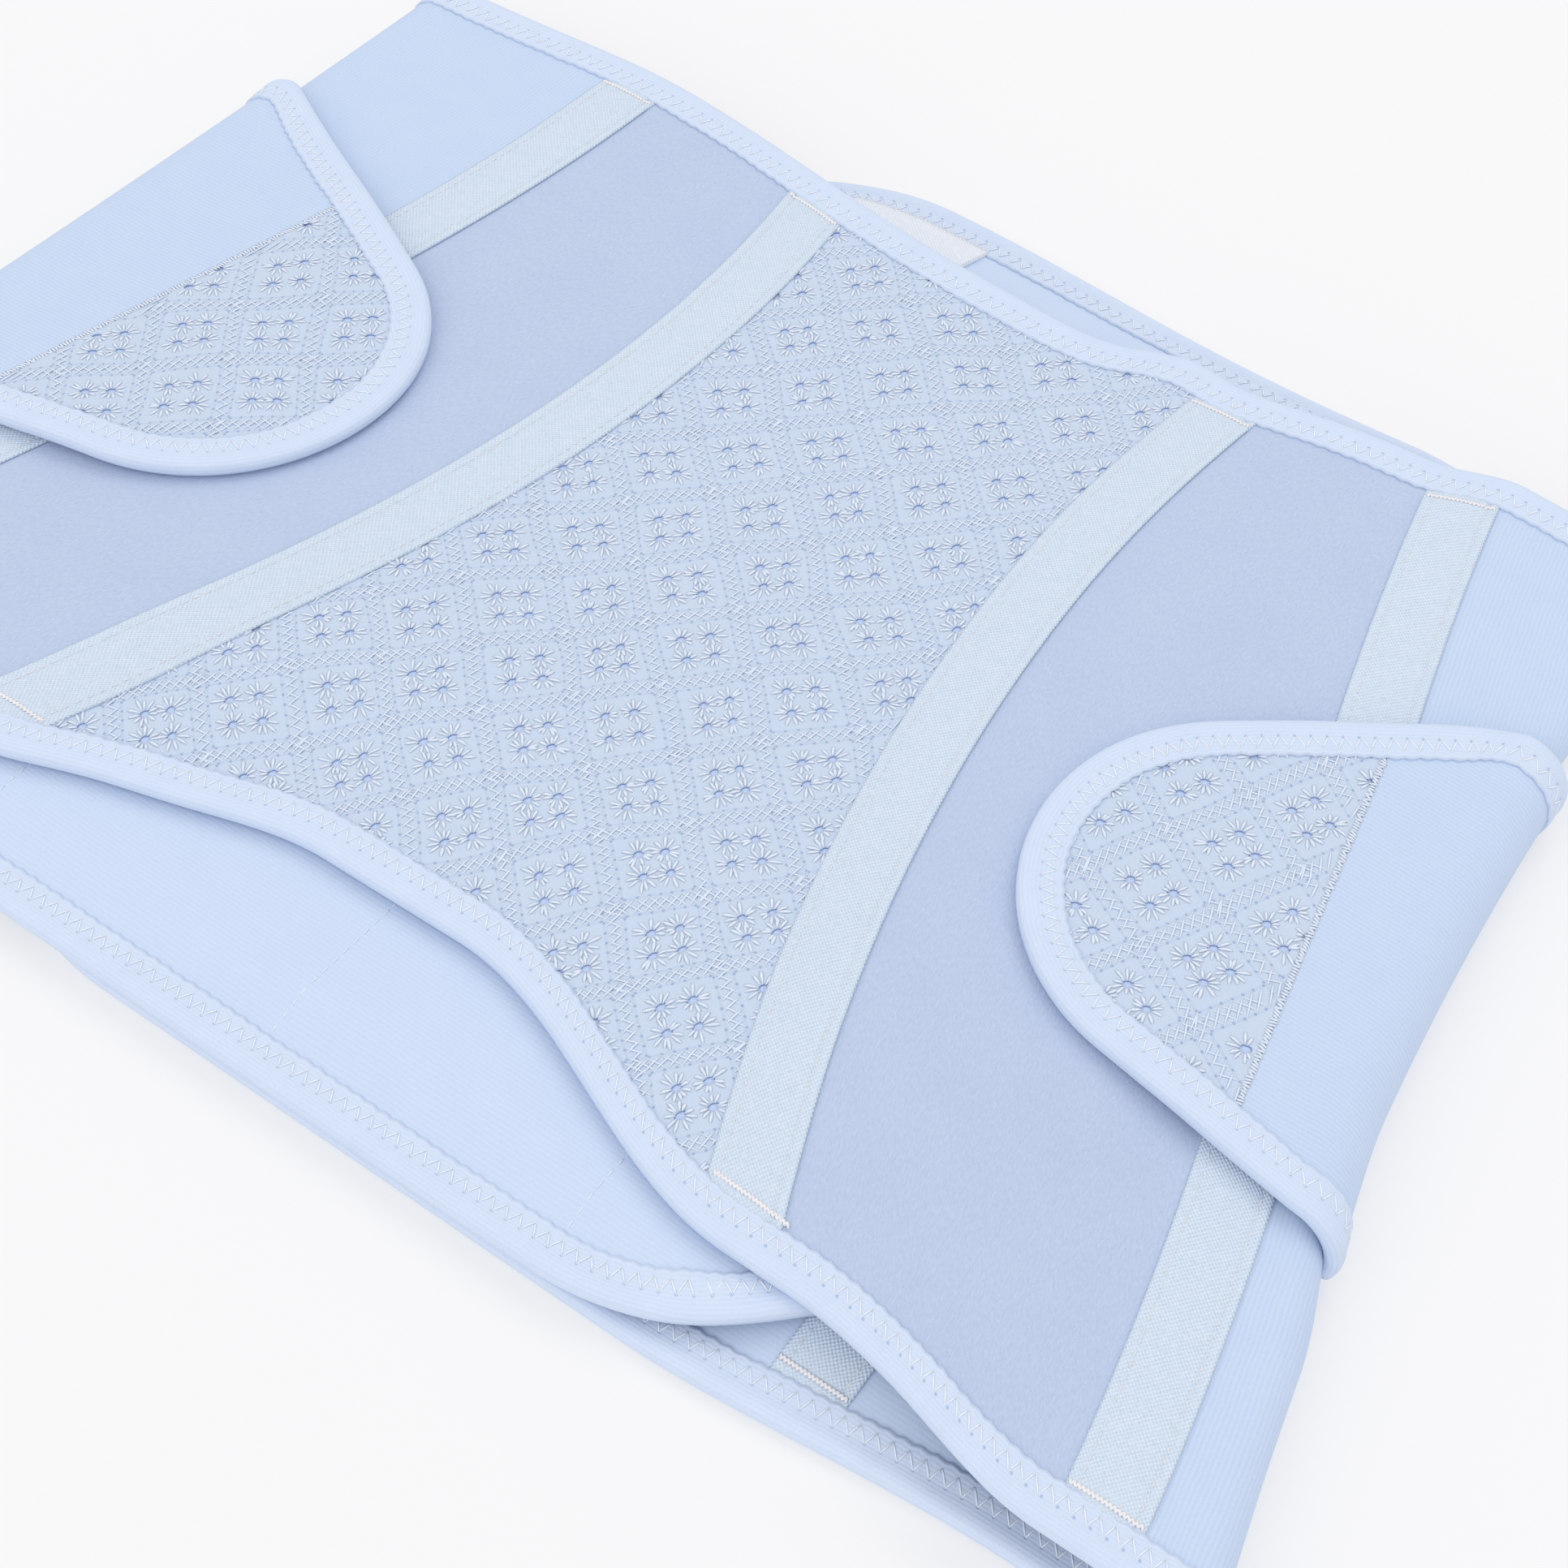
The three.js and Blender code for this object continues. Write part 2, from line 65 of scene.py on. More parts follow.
# how the band lies, in millimetres: x along the waist, y up the body, z up from the table
cloth = {"thick": 1.6, "gap": 0.3, "hem": 1.3}
tape = {"wide": 14, "thick": 0.5, "end": 6.8, "crown": 0.35, "gap": 0.04}
binding = {"wide": 8, "thick": 0.7, "half": 1.75}
lay = {"flapAtFold": 2.7, "frontAtFold": 13.8, "foldRadius": 5.55, "wingRoom": 3.5}
crown = {"rise": 3.2, "reach": 70}
sag = {"x": 27, "y": 104, "depth": 2.6, "reach": 33}
wave = {"height": 0.7, "length": 130, "reach": 60}
rumple = {"height": 0.3, "size": 42}
# soft drape that the solids leave out: the front's lower edge hangs, the flaps under it swell to meet it
lowerHang = {"depth": 4.5, "reach": 45, "shift": 3.0, "fade": 0.6, "fadeOver": (120, 155),
             "pulled": 2.6, "pulledAt": -63, "pulledWide": 17}
swells = {
    "left": [{"rise": 4.5, "ends": (-150, -110, 85, 116), "up": (-124.5, -106.5), "down": (200, 300)}],
    "right": [{"rise": 3.0, "ends": (70, 95, 125, 150), "up": (-122, -102), "down": (-60, -10)},
              {"rise": 4.0, "ends": (-70, -48, 45, 80), "up": (55, 98), "down": (108, 126)}],
}
underFront = 3.3  # kept between the middles of the front and of a flap under it
topLine = {"centre": 102.3, "rise": 11, "from": 5, "to": 110, "pushed": 4.2, "pushedAt": 37, "pushedWide": 11,
           "right": 5.0, "rightFrom": 90, "rightTo": 108}
bottomLine = {"centre": -92, "arch": 21, "from": 15, "to": 88, "drop": 9, "dropFrom": 100, "dropTo": 155}
sideOut = {"left": 0.0, "right": 6.3, "over": (30, 72)}  # the band's fold stands further out below a wing
wingOut = {"left": 0.0, "right": 2.2, "over": (20, 56)}  # and the wing's lower end follows it
folds = {
    "left": {"sign": -1, "at": 169.2, "lean": -0.039, "bow": 0.0001},
    "right": {"sign": 1, "at": 154.9, "lean": -0.148, "bow": 0.0007},
}
flaps = {
    "left": {"sign": -1, "reach": 116, "corner": 52, "top": 90, "bottom": -128.5, "dip": 0,
             "settled": -70, "rampFrom": 25, "rampTo": 70},
    "right": {"sign": 1, "reach": 80, "corner": 47, "top": 130.6, "bottom": -128, "dip": 3.4,
              "settled": -80, "rampFrom": 15, "rampTo": 50},
}
flapAtSide = {"top": 112.5, "bottom": -122.5, "from": -150, "dipLong": 160}
edgeRise = {"full": 13, "none": 36}
overTape = {"rise": 1, "from": 40, "to": 85}
seamHeights = [-110, -40, 30, 105]
seams = {
    "left_outer_tape": [-149, -128, -110.5, -101.5],
    "left_inner_tape": [-86.5, -58.5, -45, -48.5],
    "right_inner_tape": [89.5, 63.5, 50.5, 51.5],
    "right_outer_tape": [161, 143, 121, 100.5],
}


def seamX(name, y):
    total = 0
    for i, x in enumerate(seams[name]):
        share = x
        for j, height in enumerate(seamHeights):
            if j != i:
                share *= (y - height) / (seamHeights[i] - height)
        total += share
    return total


def topEdge(x):
    e = topLine
    pushed = e["pushed"] * math.exp(-((x - e["pushedAt"]) / e["pushedWide"]) ** 2)
    right = e["right"] * ease(x, e["rightFrom"], e["rightTo"])
    return e["centre"] + e["rise"] * ease(abs(x), e["from"], e["to"]) + pushed + right


def bottomEdge(x):
    e, hang = bottomLine, lowerHang
    arch = e["arch"] * ease(abs(x), e["from"], e["to"])
    shift = hang["shift"] * (1 - hang["fade"] * ease(abs(x), *hang["fadeOver"]))
    shift += hang["pulled"] * math.exp(-((x - hang["pulledAt"]) / hang["pulledWide"]) ** 2)
    return e["centre"] - arch - e["drop"] * ease(abs(x), e["dropFrom"], e["dropTo"]) + shift


def foldLine(side, y):
    f = folds[side]
    return f["at"] + f["lean"] * y + f["bow"] * y * y


def foldCentre(side, y):
    out = sideOut[side] * ease(-y, *sideOut["over"])
    return foldLine(side, y) - lay["wingRoom"] - cloth["thick"] / 2 - lay["foldRadius"] + out


def frontHeight(x, y):
    side = "left" if x < 0 else "right"
    inside = ease(foldCentre(side, y) - abs(x), 0, crown["reach"])
    dip = math.exp(-((x - sag["x"]) / sag["reach"]) ** 2 - ((y - sag["y"]) / sag["reach"]) ** 2)
    low = ease(bottomEdge(x) + wave["reach"] - y, 0, wave["reach"])
    ripple = wave["height"] * low * inside * math.sin(2 * math.pi * x / wave["length"])
    loose = rumple["height"] * inside * wander(x, y, rumple["size"])
    hang = lowerHang["depth"] * inside * ease(bottomEdge(x) + lowerHang["reach"] - y, 0, lowerHang["reach"])
    return lay["frontAtFold"] + crown["rise"] * inside - sag["depth"] * dip + ripple + loose - hang


def flapEdges(side, q):  # q is x measured towards the flap's free end
    f = flaps[side]
    settle = ease(q, flapAtSide["from"], f["settled"])
    past = max(0, min(f["corner"], q - (f["reach"] - f["corner"])))
    rounding = f["corner"] - math.sqrt(f["corner"] ** 2 - past ** 2)
    along = min(1, max(0, (f["reach"] - f["corner"] - q) / flapAtSide["dipLong"]))
    dip = f["dip"] * (0.5 - 0.5 * math.cos(2 * math.pi * along))
    top = lerp(flapAtSide["top"], f["top"], settle) - rounding - dip
    bottom = lerp(flapAtSide["bottom"], f["bottom"], settle) + rounding
    return top, bottom


def flapCorner(side, q, depth):
    f = flaps[side]
    past = q - (f["reach"] - f["corner"])
    half = math.sqrt(max(0, (f["corner"] - depth) ** 2 - past ** 2))
    return f["top"] - f["corner"] + half, f["bottom"] + f["corner"] - half


def flapSwell(side, x, y):
    total = 0
    for w in swells[side]:
        start, full, slack, end = w["ends"]
        across = ease(x, start, full) * (1 - ease(x, slack, end))
        total += w["rise"] * across * ease(y, *w["up"]) * (1 - ease(y, *w["down"]))
    return total


def flapHeight(side, x, y):
    f = flaps[side]
    near = 1 - ease(foldCentre(side, y) - f["sign"] * x, f["rampFrom"], f["rampTo"])
    if side == "left":
        lying = 3 * binding["half"] + cloth["gap"] + overTape["rise"] * ease(x, overTape["from"], overTape["to"])
    else:
        top, bottom = flapEdges(side, min(-x, f["reach"] - f["corner"]))
        inCorner = max(0, -x - (f["reach"] - f["corner"]))
        beyond = max(0, y - (top - f["corner"]), bottom + f["corner"] - y)
        toEdge = f["corner"] - math.hypot(inCorner, beyond)
        lying = lerp(binding["half"], cloth["thick"] / 2, ease(toEdge, edgeRise["full"], edgeRise["none"]))
    low = lerp(lying, lay["flapAtFold"], near)
    return max(low, min(low + flapSwell(side, x, y), frontHeight(x, y) - underFront))


def raised(place, height):
    return place + Vector((0, 0, height))


def onFront(x, y):
    return Vector((x, y, frontHeight(x, y)))


def onFold(side, angle, y):
    x = folds[side]["sign"] * (foldCentre(side, y) + lay["foldRadius"] * math.sin(angle))
    return Vector((x, y, lay["flapAtFold"] + lay["foldRadius"] * (1 + math.cos(angle))))


def onFlap(side, q, y):
    x = -flaps[side]["sign"] * q
    return Vector((x, y, flapHeight(side, x, y)))


def meet(xAt, edge):  # where a slanted line of the cloth meets an edge
    y = 0
    for _ in range(8):
        y = edge(xAt(y))
    return y


def lowHem(x):
    return bottomEdge(x) + cloth["hem"]


def highHem(x):
    return topEdge(x) - cloth["hem"]


def between(xAt, low, high, put):  # columns lean with the seams, rows run from edge to edge
    def column(u):
        bottom = meet(lambda y: xAt(u, y), low)
        top = meet(lambda y: xAt(u, y), high)

        def point(v):
            y = lerp(bottom, top, v)
            return put(xAt(u, y), y)
        return point
    return column


def inTurn(stretches):  # joins stretches end to end, each (share, part)
    whole = sum(share for share, _ in stretches)

    def joined(t, *more):
        left = t * whole
        for share, part in stretches:
            if left <= share or part is stretches[-1][1]:
                return part(min(1, left / share), *more)
            left -= share
    return joined


# wings: a rounded tip, then straight edges that spread towards the fold
wings = {
    "left": {"tip": 75.5, "middle": -4, "upper": (38, 0.53), "lower": (44, 0.18), "droop": 0.0},
    "right": {"tip": 80, "middle": -3.5, "upper": (39.5, 0.79), "lower": (42, 0.17), "droop": 6.0},
}
wingLay = {"seamAt": 131, "seamLean": -0.23, "root": 15, "tipHalf": 5, "lift": 3.05,
           "overTape": 1.3, "flat": 8, "slope": 28, "droopFrom": 46, "droopLong": 22,
           "laceFrom": 0.3, "laceGap": 0.05, "backingGap": 0.1}


def wingEdge(side, way, away):
    radius, slope = wings[side]["upper" if way > 0 else "lower"]
    steep = math.hypot(1, slope)
    arcEnd = radius * (1 - slope / steep)
    if away < arcEnd:
        half = math.sqrt(max(0, radius ** 2 - (radius - away) ** 2))
    else:
        half = radius / steep + slope * (away - arcEnd)
    if way > 0:
        past = max(0, away - wingLay["droopFrom"]) / wingLay["droopLong"]
        half -= wings[side]["droop"] * past ** 2  # the upper corner hangs over the fold
    return wings[side]["middle"] + way * half


def wingHeight(side, x, y):
    fromTape = abs(x - seamX(side + "_outer_tape", y))
    over = 1 - ease(fromTape, wingLay["flat"], wingLay["flat"] + wingLay["slope"])
    return frontHeight(x, y) + wingLay["lift"] + wingLay["overTape"] * over


def onWing(side, x, y):  # x counted outwards from the centre front
    return Vector((folds[side]["sign"] * x, y, wingHeight(side, folds[side]["sign"] * x, y)))


def wingTurn(side, y):  # centre and radius of the wing's own fold
    low = cloth["thick"] / 2
    radius = lay["foldRadius"]
    outer = foldLine(side, y) + wingOut[side] * ease(-y, *wingOut["over"])
    for _ in range(6):
        x = outer - low - radius
        radius = (wingHeight(side, folds[side]["sign"] * x, y) - low) / 2
    return outer - low - radius, low + radius, radius


def onWingTurn(side, t, y):
    x, z, radius = wingTurn(side, y)
    x += radius * math.sin(t * math.pi)
    return Vector((folds[side]["sign"] * x, y, z + radius * math.cos(t * math.pi)))


def wingFoldEdge(side, way):
    return meet(lambda y: wingTurn(side, y)[0], lambda x: wingEdge(side, way, x - wings[side]["tip"]))


def wingSeam(y):
    return wingLay["seamAt"] + wingLay["seamLean"] * y


# materials: one small function adds a node with its settings and links, and hands on its live output
def addNode(tree, kind, inputs, **settings):
    kind, _, mode = kind.partition(" ")
    node = tree.nodes.new("ShaderNode" + kind)
    if mode:
        settings["data_type" if kind == "Mix" else "operation"] = mode
    for key, value in settings.items():
        setattr(node, key, value)
    for key, value in inputs.items() if isinstance(inputs, dict) else enumerate(inputs):
        if isinstance(value, bpy.types.NodeSocket):
            tree.links.new(value, node.inputs[key])
        else:
            node.inputs[key].default_value = value
    return next(socket for socket in node.outputs if socket.enabled)


def newFinish(name, look):
    material = bpy.data.materials.new(name)
    material.use_nodes = True
    shader = material.node_tree.nodes["Principled BSDF"]
    fixed = {"Roughness": look["rough"], "IOR": 1.5, "Specular IOR Level": look["specular"],
             "Sheen Weight": look["sheen"], "Sheen Roughness": 0.5}
    for socket, value in fixed.items():
        shader.inputs[socket].default_value = value
    return material, functools.partial(addNode, material.node_tree)


def finishWith(material, colour, height, depth):
    tree = material.node_tree
    shader = tree.nodes["Principled BSDF"]
    bump = addNode(tree, "Bump", {"Strength": 1.0, "Distance": depth * mm, "Height": height})
    tree.links.new(colour, shader.inputs["Base Color"])
    tree.links.new(bump, shader.inputs["Normal"])
    return material


def clothUv(add):
    uv = add("UVMap", [], uv_map="cloth")
    u, v, _ = add("SeparateXYZ", [uv]).node.outputs
    return uv, u, v


def ripple(add, along, size):  # a wave across the cloth, size mm from crest to crest
    turned = add("Math MULTIPLY", [along, 2 * math.pi / (size * mm)])
    return add("Math SINE", [turned])


def shadeCloth(add, look, *parts):  # dark to light; each part: a socket, its middle value and its weight
    shade = 0.5
    for socket, middle, weight in parts:
        off = add("Math SUBTRACT", [socket, middle])
        shade = add("Math MULTIPLY_ADD", [off, weight, shade])
    return add("Mix RGBA", {0: shade, 6: linear(look["dark"]), 7: linear(look["light"])})


# cotton and elastane jersey, knitted: fine ribs with a soft matte face; inside the band it is a little lighter,
# painted light that lifts the shade on the inner faces
jerseyLook = {"light": "#cddcf1", "dark": "#bdcfeb", "rough": 0.92, "specular": 0.2, "sheen": 0.1, "rib": 0.9,
              "ribHigh": 0.35, "drift": 9, "sway": 0.9, "fuzz": 0.5, "weights": (0.2, 0.35, 0.8), "relief": 0.04}
# painted light: the inside jersey's lighter colours offset the shade on the faces inside the band
liningLook = {**jerseyLook, "light": "#d1dff3", "dark": "#c6d6ef", "relief": 0.025}
# the same jersey cut as a strip and rolled over an edge: ribs run along it, needle holes beside the zigzag, painted
# darker as the shade in each pit
bindingLook = {**jerseyLook, "light": "#d9e4f5", "dark": "#c9d7ef", "hole": "#8fa9d4", "rib": 0.75, "ribHigh": 0.3,
               "drift": 7, "sway": 0.5, "weights": (0.16, 0.5, 0.7)}  # ribs are 0.55 mm and drawn wider to show
zigzag = {"outer": 4.0, "inner": 6.7, "step": 1.45, "over": 1.08, "lift": 0.2, "wide": 0.16, "high": 0.11}


def makeJersey(name, along, look):
    material, add = newFinish(name, look)
    uv, u, v = clothUv(add)
    drift = add("TexNoise", {"Vector": uv, "Scale": 1 / (look["drift"] * mm), "Detail": 2.0})
    shifted = add("Math MULTIPLY_ADD", [drift, look["sway"] * mm, v if along == "x" else u])
    rib = ripple(add, shifted, look["rib"])
    fuzz = add("TexNoise", {"Vector": uv, "Scale": 1 / (look["fuzz"] * mm), "Detail": 3.0})
    ribShadeWeight, byDrift, byFuzz = look["weights"]
    # painted shade: the rib valleys are painted darker; the drift and fuzz tones are the yarn's own
    colour = shadeCloth(add, look, (rib, 0, ribShadeWeight), (drift, 0.5, byDrift), (fuzz, 0.5, byFuzz))
    height = add("Math MULTIPLY_ADD", [rib, look["ribHigh"], fuzz])
    if "hole" in look:  # u runs along the strip, v across it from its inner edge
        turned = add("Math MULTIPLY", [u, math.pi / (zigzag["step"] * mm)])
        spot = add("Math COSINE", [turned])
        beside = add("Math SUBTRACT", [v, (binding["wide"] - zigzag["outer"]) * mm])
        beside = add("Math ABSOLUTE", [beside])
        row = add("MapRange", [beside, 0.1 * mm, 0.45 * mm, 1.0, 0.0])
        peak = add("MapRange", [spot, 0.75, 1.0, 0.0, 1.0])
        hole = add("Math MULTIPLY", [row, peak])
        height = add("Math MULTIPLY_ADD", [hole, -2.0, height])
        # painted shade: each needle hole, dented by the bump, is painted darker as the shadow inside it
        dark = add("Math MULTIPLY", [hole, 0.6])
        colour = add("Mix RGBA", {0: dark, 6: colour, 7: linear(look["hole"])})
    return finishWith(material, colour, height, look["relief"])


# brushed nylon loop pile: a short nap, streaked where it was stroked
loopLook = {"light": "#cbd7ee", "dark": "#b3c4e2", "rough": 0.95, "specular": 0.1, "sheen": 0.25,
            "nap": 0.42, "patch": 14, "stroked": -50, "relief": 0.22}


def makeLoopPile(name, look):
    material, add = newFinish(name, look)
    uv, _, _ = clothUv(add)
    stroked = add("Mapping", {
        "Vector": uv, "Rotation": (0, 0, math.radians(look["stroked"])), "Scale": (1.0, 0.38, 1.0)})
    nap = add("TexNoise", {"Vector": stroked, "Scale": 1 / (look["nap"] * mm), "Detail": 4.0, "Roughness": 0.7})
    patch = add("TexNoise", {"Vector": uv, "Scale": 1 / (look["patch"] * mm), "Detail": 3.0})
    colour = shadeCloth(add, look, (nap, 0.5, 1.8), (patch, 0.5, 0.3))
    return finishWith(material, colour, nap, look["relief"])


# cotton cambric, machine embroidered: pricked and creased along the stitch bands, with the shade in the creases and
# needle pricks painted darker
lace = {"pitch": 16.2, "bandEdge": 0.4, "eyelet": 0.155, "needles": 8, "thick": 0.3,
        "backing": 1.1, "backingDrop": 0.08,
        "near": 13, "slack": 1.3, "slackSize": 17}  # the embroidery draws the cells a little out of square
latticeCells = [(a, b) for a in range(-14, 15) for b in range(-14, 15)]  # enough to cover the front
# wall is painted shade: the dark colour laid on each eyelet's wall stands for the shadow inside the hole
cambricLook = {"light": "#cedaec", "dark": "#c2d1e6", "crease": "#93aad2", "wall": "#7f96c6", "rough": 0.9,
               "specular": 0.2, "sheen": 0.1, "weave": 0.45, "patch": 9.53, "wrinkle": 3.6, "relief": 0.08}


def makeCambric(name, look):
    material, add = newFinish(name, look)
    uv, u, v = clothUv(add)  # one unit is one cell of the eyelet lattice
    offs = []
    for axis in (u, v):
        moved = add("Math ADD", [axis, 0.5])
        part = add("Math SUBTRACT", [add("Math FRACT", [moved]), 0.5])
        offs.append((part, add("Math ABSOLUTE", [part])))
    creases, fromEyelet = [], []
    for (_, away), (other, _) in zip(offs, offs[::-1]):
        line = add("Math SUBTRACT", [away, lace["bandEdge"]])
        line = add("Math ABSOLUTE", [line])
        crease = add("MapRange", [line, 0.004, 0.02, 1.0, 0.0])
        turned = add("Math MULTIPLY", [other, 2 * math.pi * lace["needles"]])
        beat = add("Math COSINE", [turned])
        needle = add("MapRange", [beat, 0.65, 0.95, 0.22, 1.0])
        creases.append(add("Math MULTIPLY", [crease, needle]))
        fromEyelet.append(add("Math SUBTRACT", [away, lace["eyelet"]]))
    crease = add("Math MAXIMUM", creases)
    weave, patch, wrinkle = (
        add("TexNoise", {"Vector": uv, "Scale": lace["pitch"] / look[grain], "Detail": detail})
        for grain, detail in {"weave": 2.0, "patch": 3.0, "wrinkle": 1.0}.items())
    colour = shadeCloth(add, look, (weave, 0.5, 0.8), (patch, 0.5, 0.5))
    # painted shade: the creases and needle pricks along the bands are painted darker, the shade that falls in them;
    # the crease also dents the bump
    dark = add("Math MULTIPLY", [crease, 0.8])
    colour = add("Mix RGBA", {0: dark, 6: colour, 7: linear(look["crease"])})
    # painted shade: a dark ring on the eyelet walls, the shadow that falls inside each hole
    squared = add("Math MULTIPLY", [fromEyelet[1], fromEyelet[1]])
    squared = add("Math MULTIPLY_ADD", [fromEyelet[0], fromEyelet[0], squared])
    wall = add("MapRange", [squared, 0.0029, 0.0044, 0.85, 0.0])
    colour = add("Mix RGBA", {0: wall, 6: colour, 7: linear(look["wall"])})
    height = add("Math MULTIPLY_ADD", [crease, -1.6, weave])
    height = add("Math MULTIPLY_ADD", [wrinkle, 4.0, height])
    return finishWith(material, colour, height, look["relief"])


# woven polyester boning tape: a plain weave with a slight shine
tapeLook = {"light": "#e0ebf7", "dark": "#cadaed", "rough": 0.6, "specular": 0.3, "sheen": 0.1,
            "thread": 0.85, "loose": 3, "sway": 0.3, "fibre": 0.4, "relief": 0.13}  # threads drawn wider to show
# plain cotton lining: the cooler blue seen through the eyelets
backingLook = {**tapeLook, "light": "#cadaf4", "dark": "#bed0f0", "rough": 0.9, "specular": 0.2, "sheen": 0.0,
               "thread": 0.9, "relief": 0.04}
# fine hook tape, moulded nylon hooks on a woven ground: whiter and drier than the boning tape
hookLook = {**tapeLook, "light": "#f1f5fb", "dark": "#e2e9f4", "rough": 0.7, "sheen": 0.0,
            "thread": 1.0, "relief": 0.14}


def makeWoven(name, look):
    material, add = newFinish(name, look)
    uv, u, v = clothUv(add)
    loose = add("TexNoise", {"Vector": uv, "Scale": 1 / (look["loose"] * mm), "Detail": 2.0})
    shifted = add("Math MULTIPLY_ADD", [loose, look["sway"] * mm, v])
    warp, weft = (ripple(add, way, look["thread"]) for way in (u, shifted))
    weave = add("Math MULTIPLY", [warp, weft])
    fibre = add("TexNoise", {"Vector": uv, "Scale": 1 / (look["fibre"] * mm), "Detail": 2.0})
    # painted shade: the weave's hollows are painted darker and its crossings lighter; the loose and fibre tones are
    # the thread's own
    colour = shadeCloth(add, look, (weave, 0, 0.6), (loose, 0.5, 0.5), (fibre, 0.5, 0.6))
    height = add("Math MULTIPLY_ADD", [weave, 0.6, fibre])
    return finishWith(material, colour, height, look["relief"])


# embroidery and sewing threads: smooth twisted strands, lighter than the cloth they hold
sewingLook = {"light": "#f7fafe", "dark": "#e9f0fa", "rough": 0.6, "specular": 0.3, "sheen": 0.1,
              "twist": 0.35, "relief": 0.03}
tackLook = {**sewingLook, "light": "#f6f4f5", "dark": "#e6e6ec"}
threadLook = {**sewingLook, "light": "#e6effc", "dark": "#d9e5f7", "rough": 0.7, "specular": 0.25}


def makeThread(name, look):
    material, add = newFinish(name, look)
    place = add("TexCoord", []).node.outputs["Object"]
    twist = add("TexNoise", {"Vector": place, "Scale": 1 / (look["twist"] * mm), "Detail": 1.0})
    colour = add("Mix RGBA", {0: twist, 6: linear(look["dark"]), 7: linear(look["light"])})
    return finishWith(material, colour, twist, look["relief"])


jerseyUp = makeJersey("cotton jersey, ribs up the body", "y", jerseyLook)
jerseyAcross = makeJersey("cotton jersey, ribs along the wing", "x", jerseyLook)
jerseyInside = makeJersey("cotton jersey, rows inside", "x", liningLook)
bindingJersey = makeJersey("rolled jersey binding", "x", bindingLook)
loopPile = makeLoopPile("brushed nylon loop pile", loopLook)
cambric = makeCambric("embroidered cotton cambric", cambricLook)
boningTape = makeWoven("woven polyester boning tape", tapeLook)
backingCloth = makeWoven("plain cotton lining", backingLook)
hookTape = makeWoven("woven ground of nylon hook tape", hookLook)
embroideryThread = makeThread("mercerised cotton embroidery thread", threadLook)
sewingThread = makeThread("spun polyester sewing thread", sewingLook)
tackThread = makeThread("bulked nylon tacking thread", tackLook)
print("materials made")


def newMesh(name, bm):
    mesh = bpy.data.meshes.new(name)
    bm.to_mesh(mesh)
    bm.free()
    return mesh


def addPiece(name, bm, materials, node=None):
    mesh = newMesh(name, bm)
    mesh.shade_smooth()
    for material in materials:
        mesh.materials.append(material)
    piece = bpy.data.objects.new(name, mesh)
    bpy.context.collection.objects.link(piece)
    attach(piece, "root")
    if node:
        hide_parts(node)
    return piece


def giveWall(piece, thick, offset):
    wall = piece.modifiers.new("thickness", "SOLIDIFY")
    wall.thickness = thick * mm
    wall.offset = offset
    wall.material_offset = len(piece.data.materials) - 1


def spreadUv(bm, spread):  # each vertex's place on the cloth before it was draped
    layer = bm.loops.layers.uv.new("cloth")
    for face in bm.faces:
        for loop in face.loops:
            loop[layer].uv = spread[loop.vert]


def layCloth(name, grid, column, thick, materials, node=None, flip=False):
    columns, rows = grid
    bm = bmesh.new()
    bmesh.ops.create_grid(bm, x_segments=columns, y_segments=rows, size=0.5)
    ranks = [[None] * (rows + 1) for _ in range(columns + 1)]
    for vert in bm.verts:
        ranks[round((vert.co.x + 0.5) * columns)][round((vert.co.y + 0.5) * rows)] = vert
    spread = {}
    before = None
    for i, rank in enumerate(ranks):
        point = column(i / columns)
        for j, vert in enumerate(rank):
            place = point(j / rows)
            run = 0.0
            if before:
                last = before[j].co / mm
                run = spread[before[j]][0] + math.hypot(place.x - last.x, place.z - last.z) * mm
            spread[vert] = (run, place.y * mm)
            vert.co = place * mm
        before = rank
    spreadUv(bm, spread)
    if flip:
        bmesh.ops.reverse_faces(bm, faces=bm.faces[:])
    piece = addPiece(name, bm, materials, node)
    giveWall(piece, thick, 0)
    return piece


# a strand of thread: a short square tube, made once and copied for every stitch
def makeStrandMesh():
    bm = bmesh.new()
    ring = bmesh.ops.create_circle(bm, segments=4, radius=1)["verts"]
    bmesh.ops.rotate(bm, verts=ring, matrix=Matrix.Rotation(math.pi / 2, 3, "Y"))
    bm.faces.new(ring)
    edges = bm.edges[:]
    for _ in range(3):
        grown = bmesh.ops.extrude_edge_only(bm, edges=edges)["geom"]
        bmesh.ops.translate(bm, verts=[g for g in grown if isinstance(g, bmesh.types.BMVert)], vec=(1 / 3, 0, 0))
        edges = [g for g in grown if isinstance(g, bmesh.types.BMEdge) and g.is_boundary]
    bmesh.ops.holes_fill(bm, edges=edges)
    bmesh.ops.recalc_face_normals(bm, faces=bm.faces[:])
    return newMesh("strand", bm)


strandMesh = makeStrandMesh()


def sewStrands(name, strands, material):  # each: start, end, up, lift, half widths at both ends, half height
    shape = [v.co.copy() for v in strandMesh.vertices]
    bm = bmesh.new()
    for _ in strands:
        bm.from_mesh(strandMesh)
    for index, vert in enumerate(bm.verts):
        start, end, up, lift, wideStart, wideEnd, high = strands[index // len(shape)]
        t, side, top = shape[index % len(shape)]
        arch = 4 * t * (1 - t)
        slim = 0.55 + 0.45 * arch
        run = (end - start).normalized()
        across = up.cross(run).normalized()
        wide = lerp(wideStart, wideEnd, t) * slim
        vert.co = (start.lerp(end, t) + up * (lift * arch + top * high * slim) + across * (side * wide)) * mm
    addPiece(name, bm, [material])


def plainStrand(start, end, thread, over=0.0, up=Vector((0, 0, 1))):
    return start, end, up, thread["lift"] + over, thread["wide"], thread["wide"], thread["high"]


print("strand made")

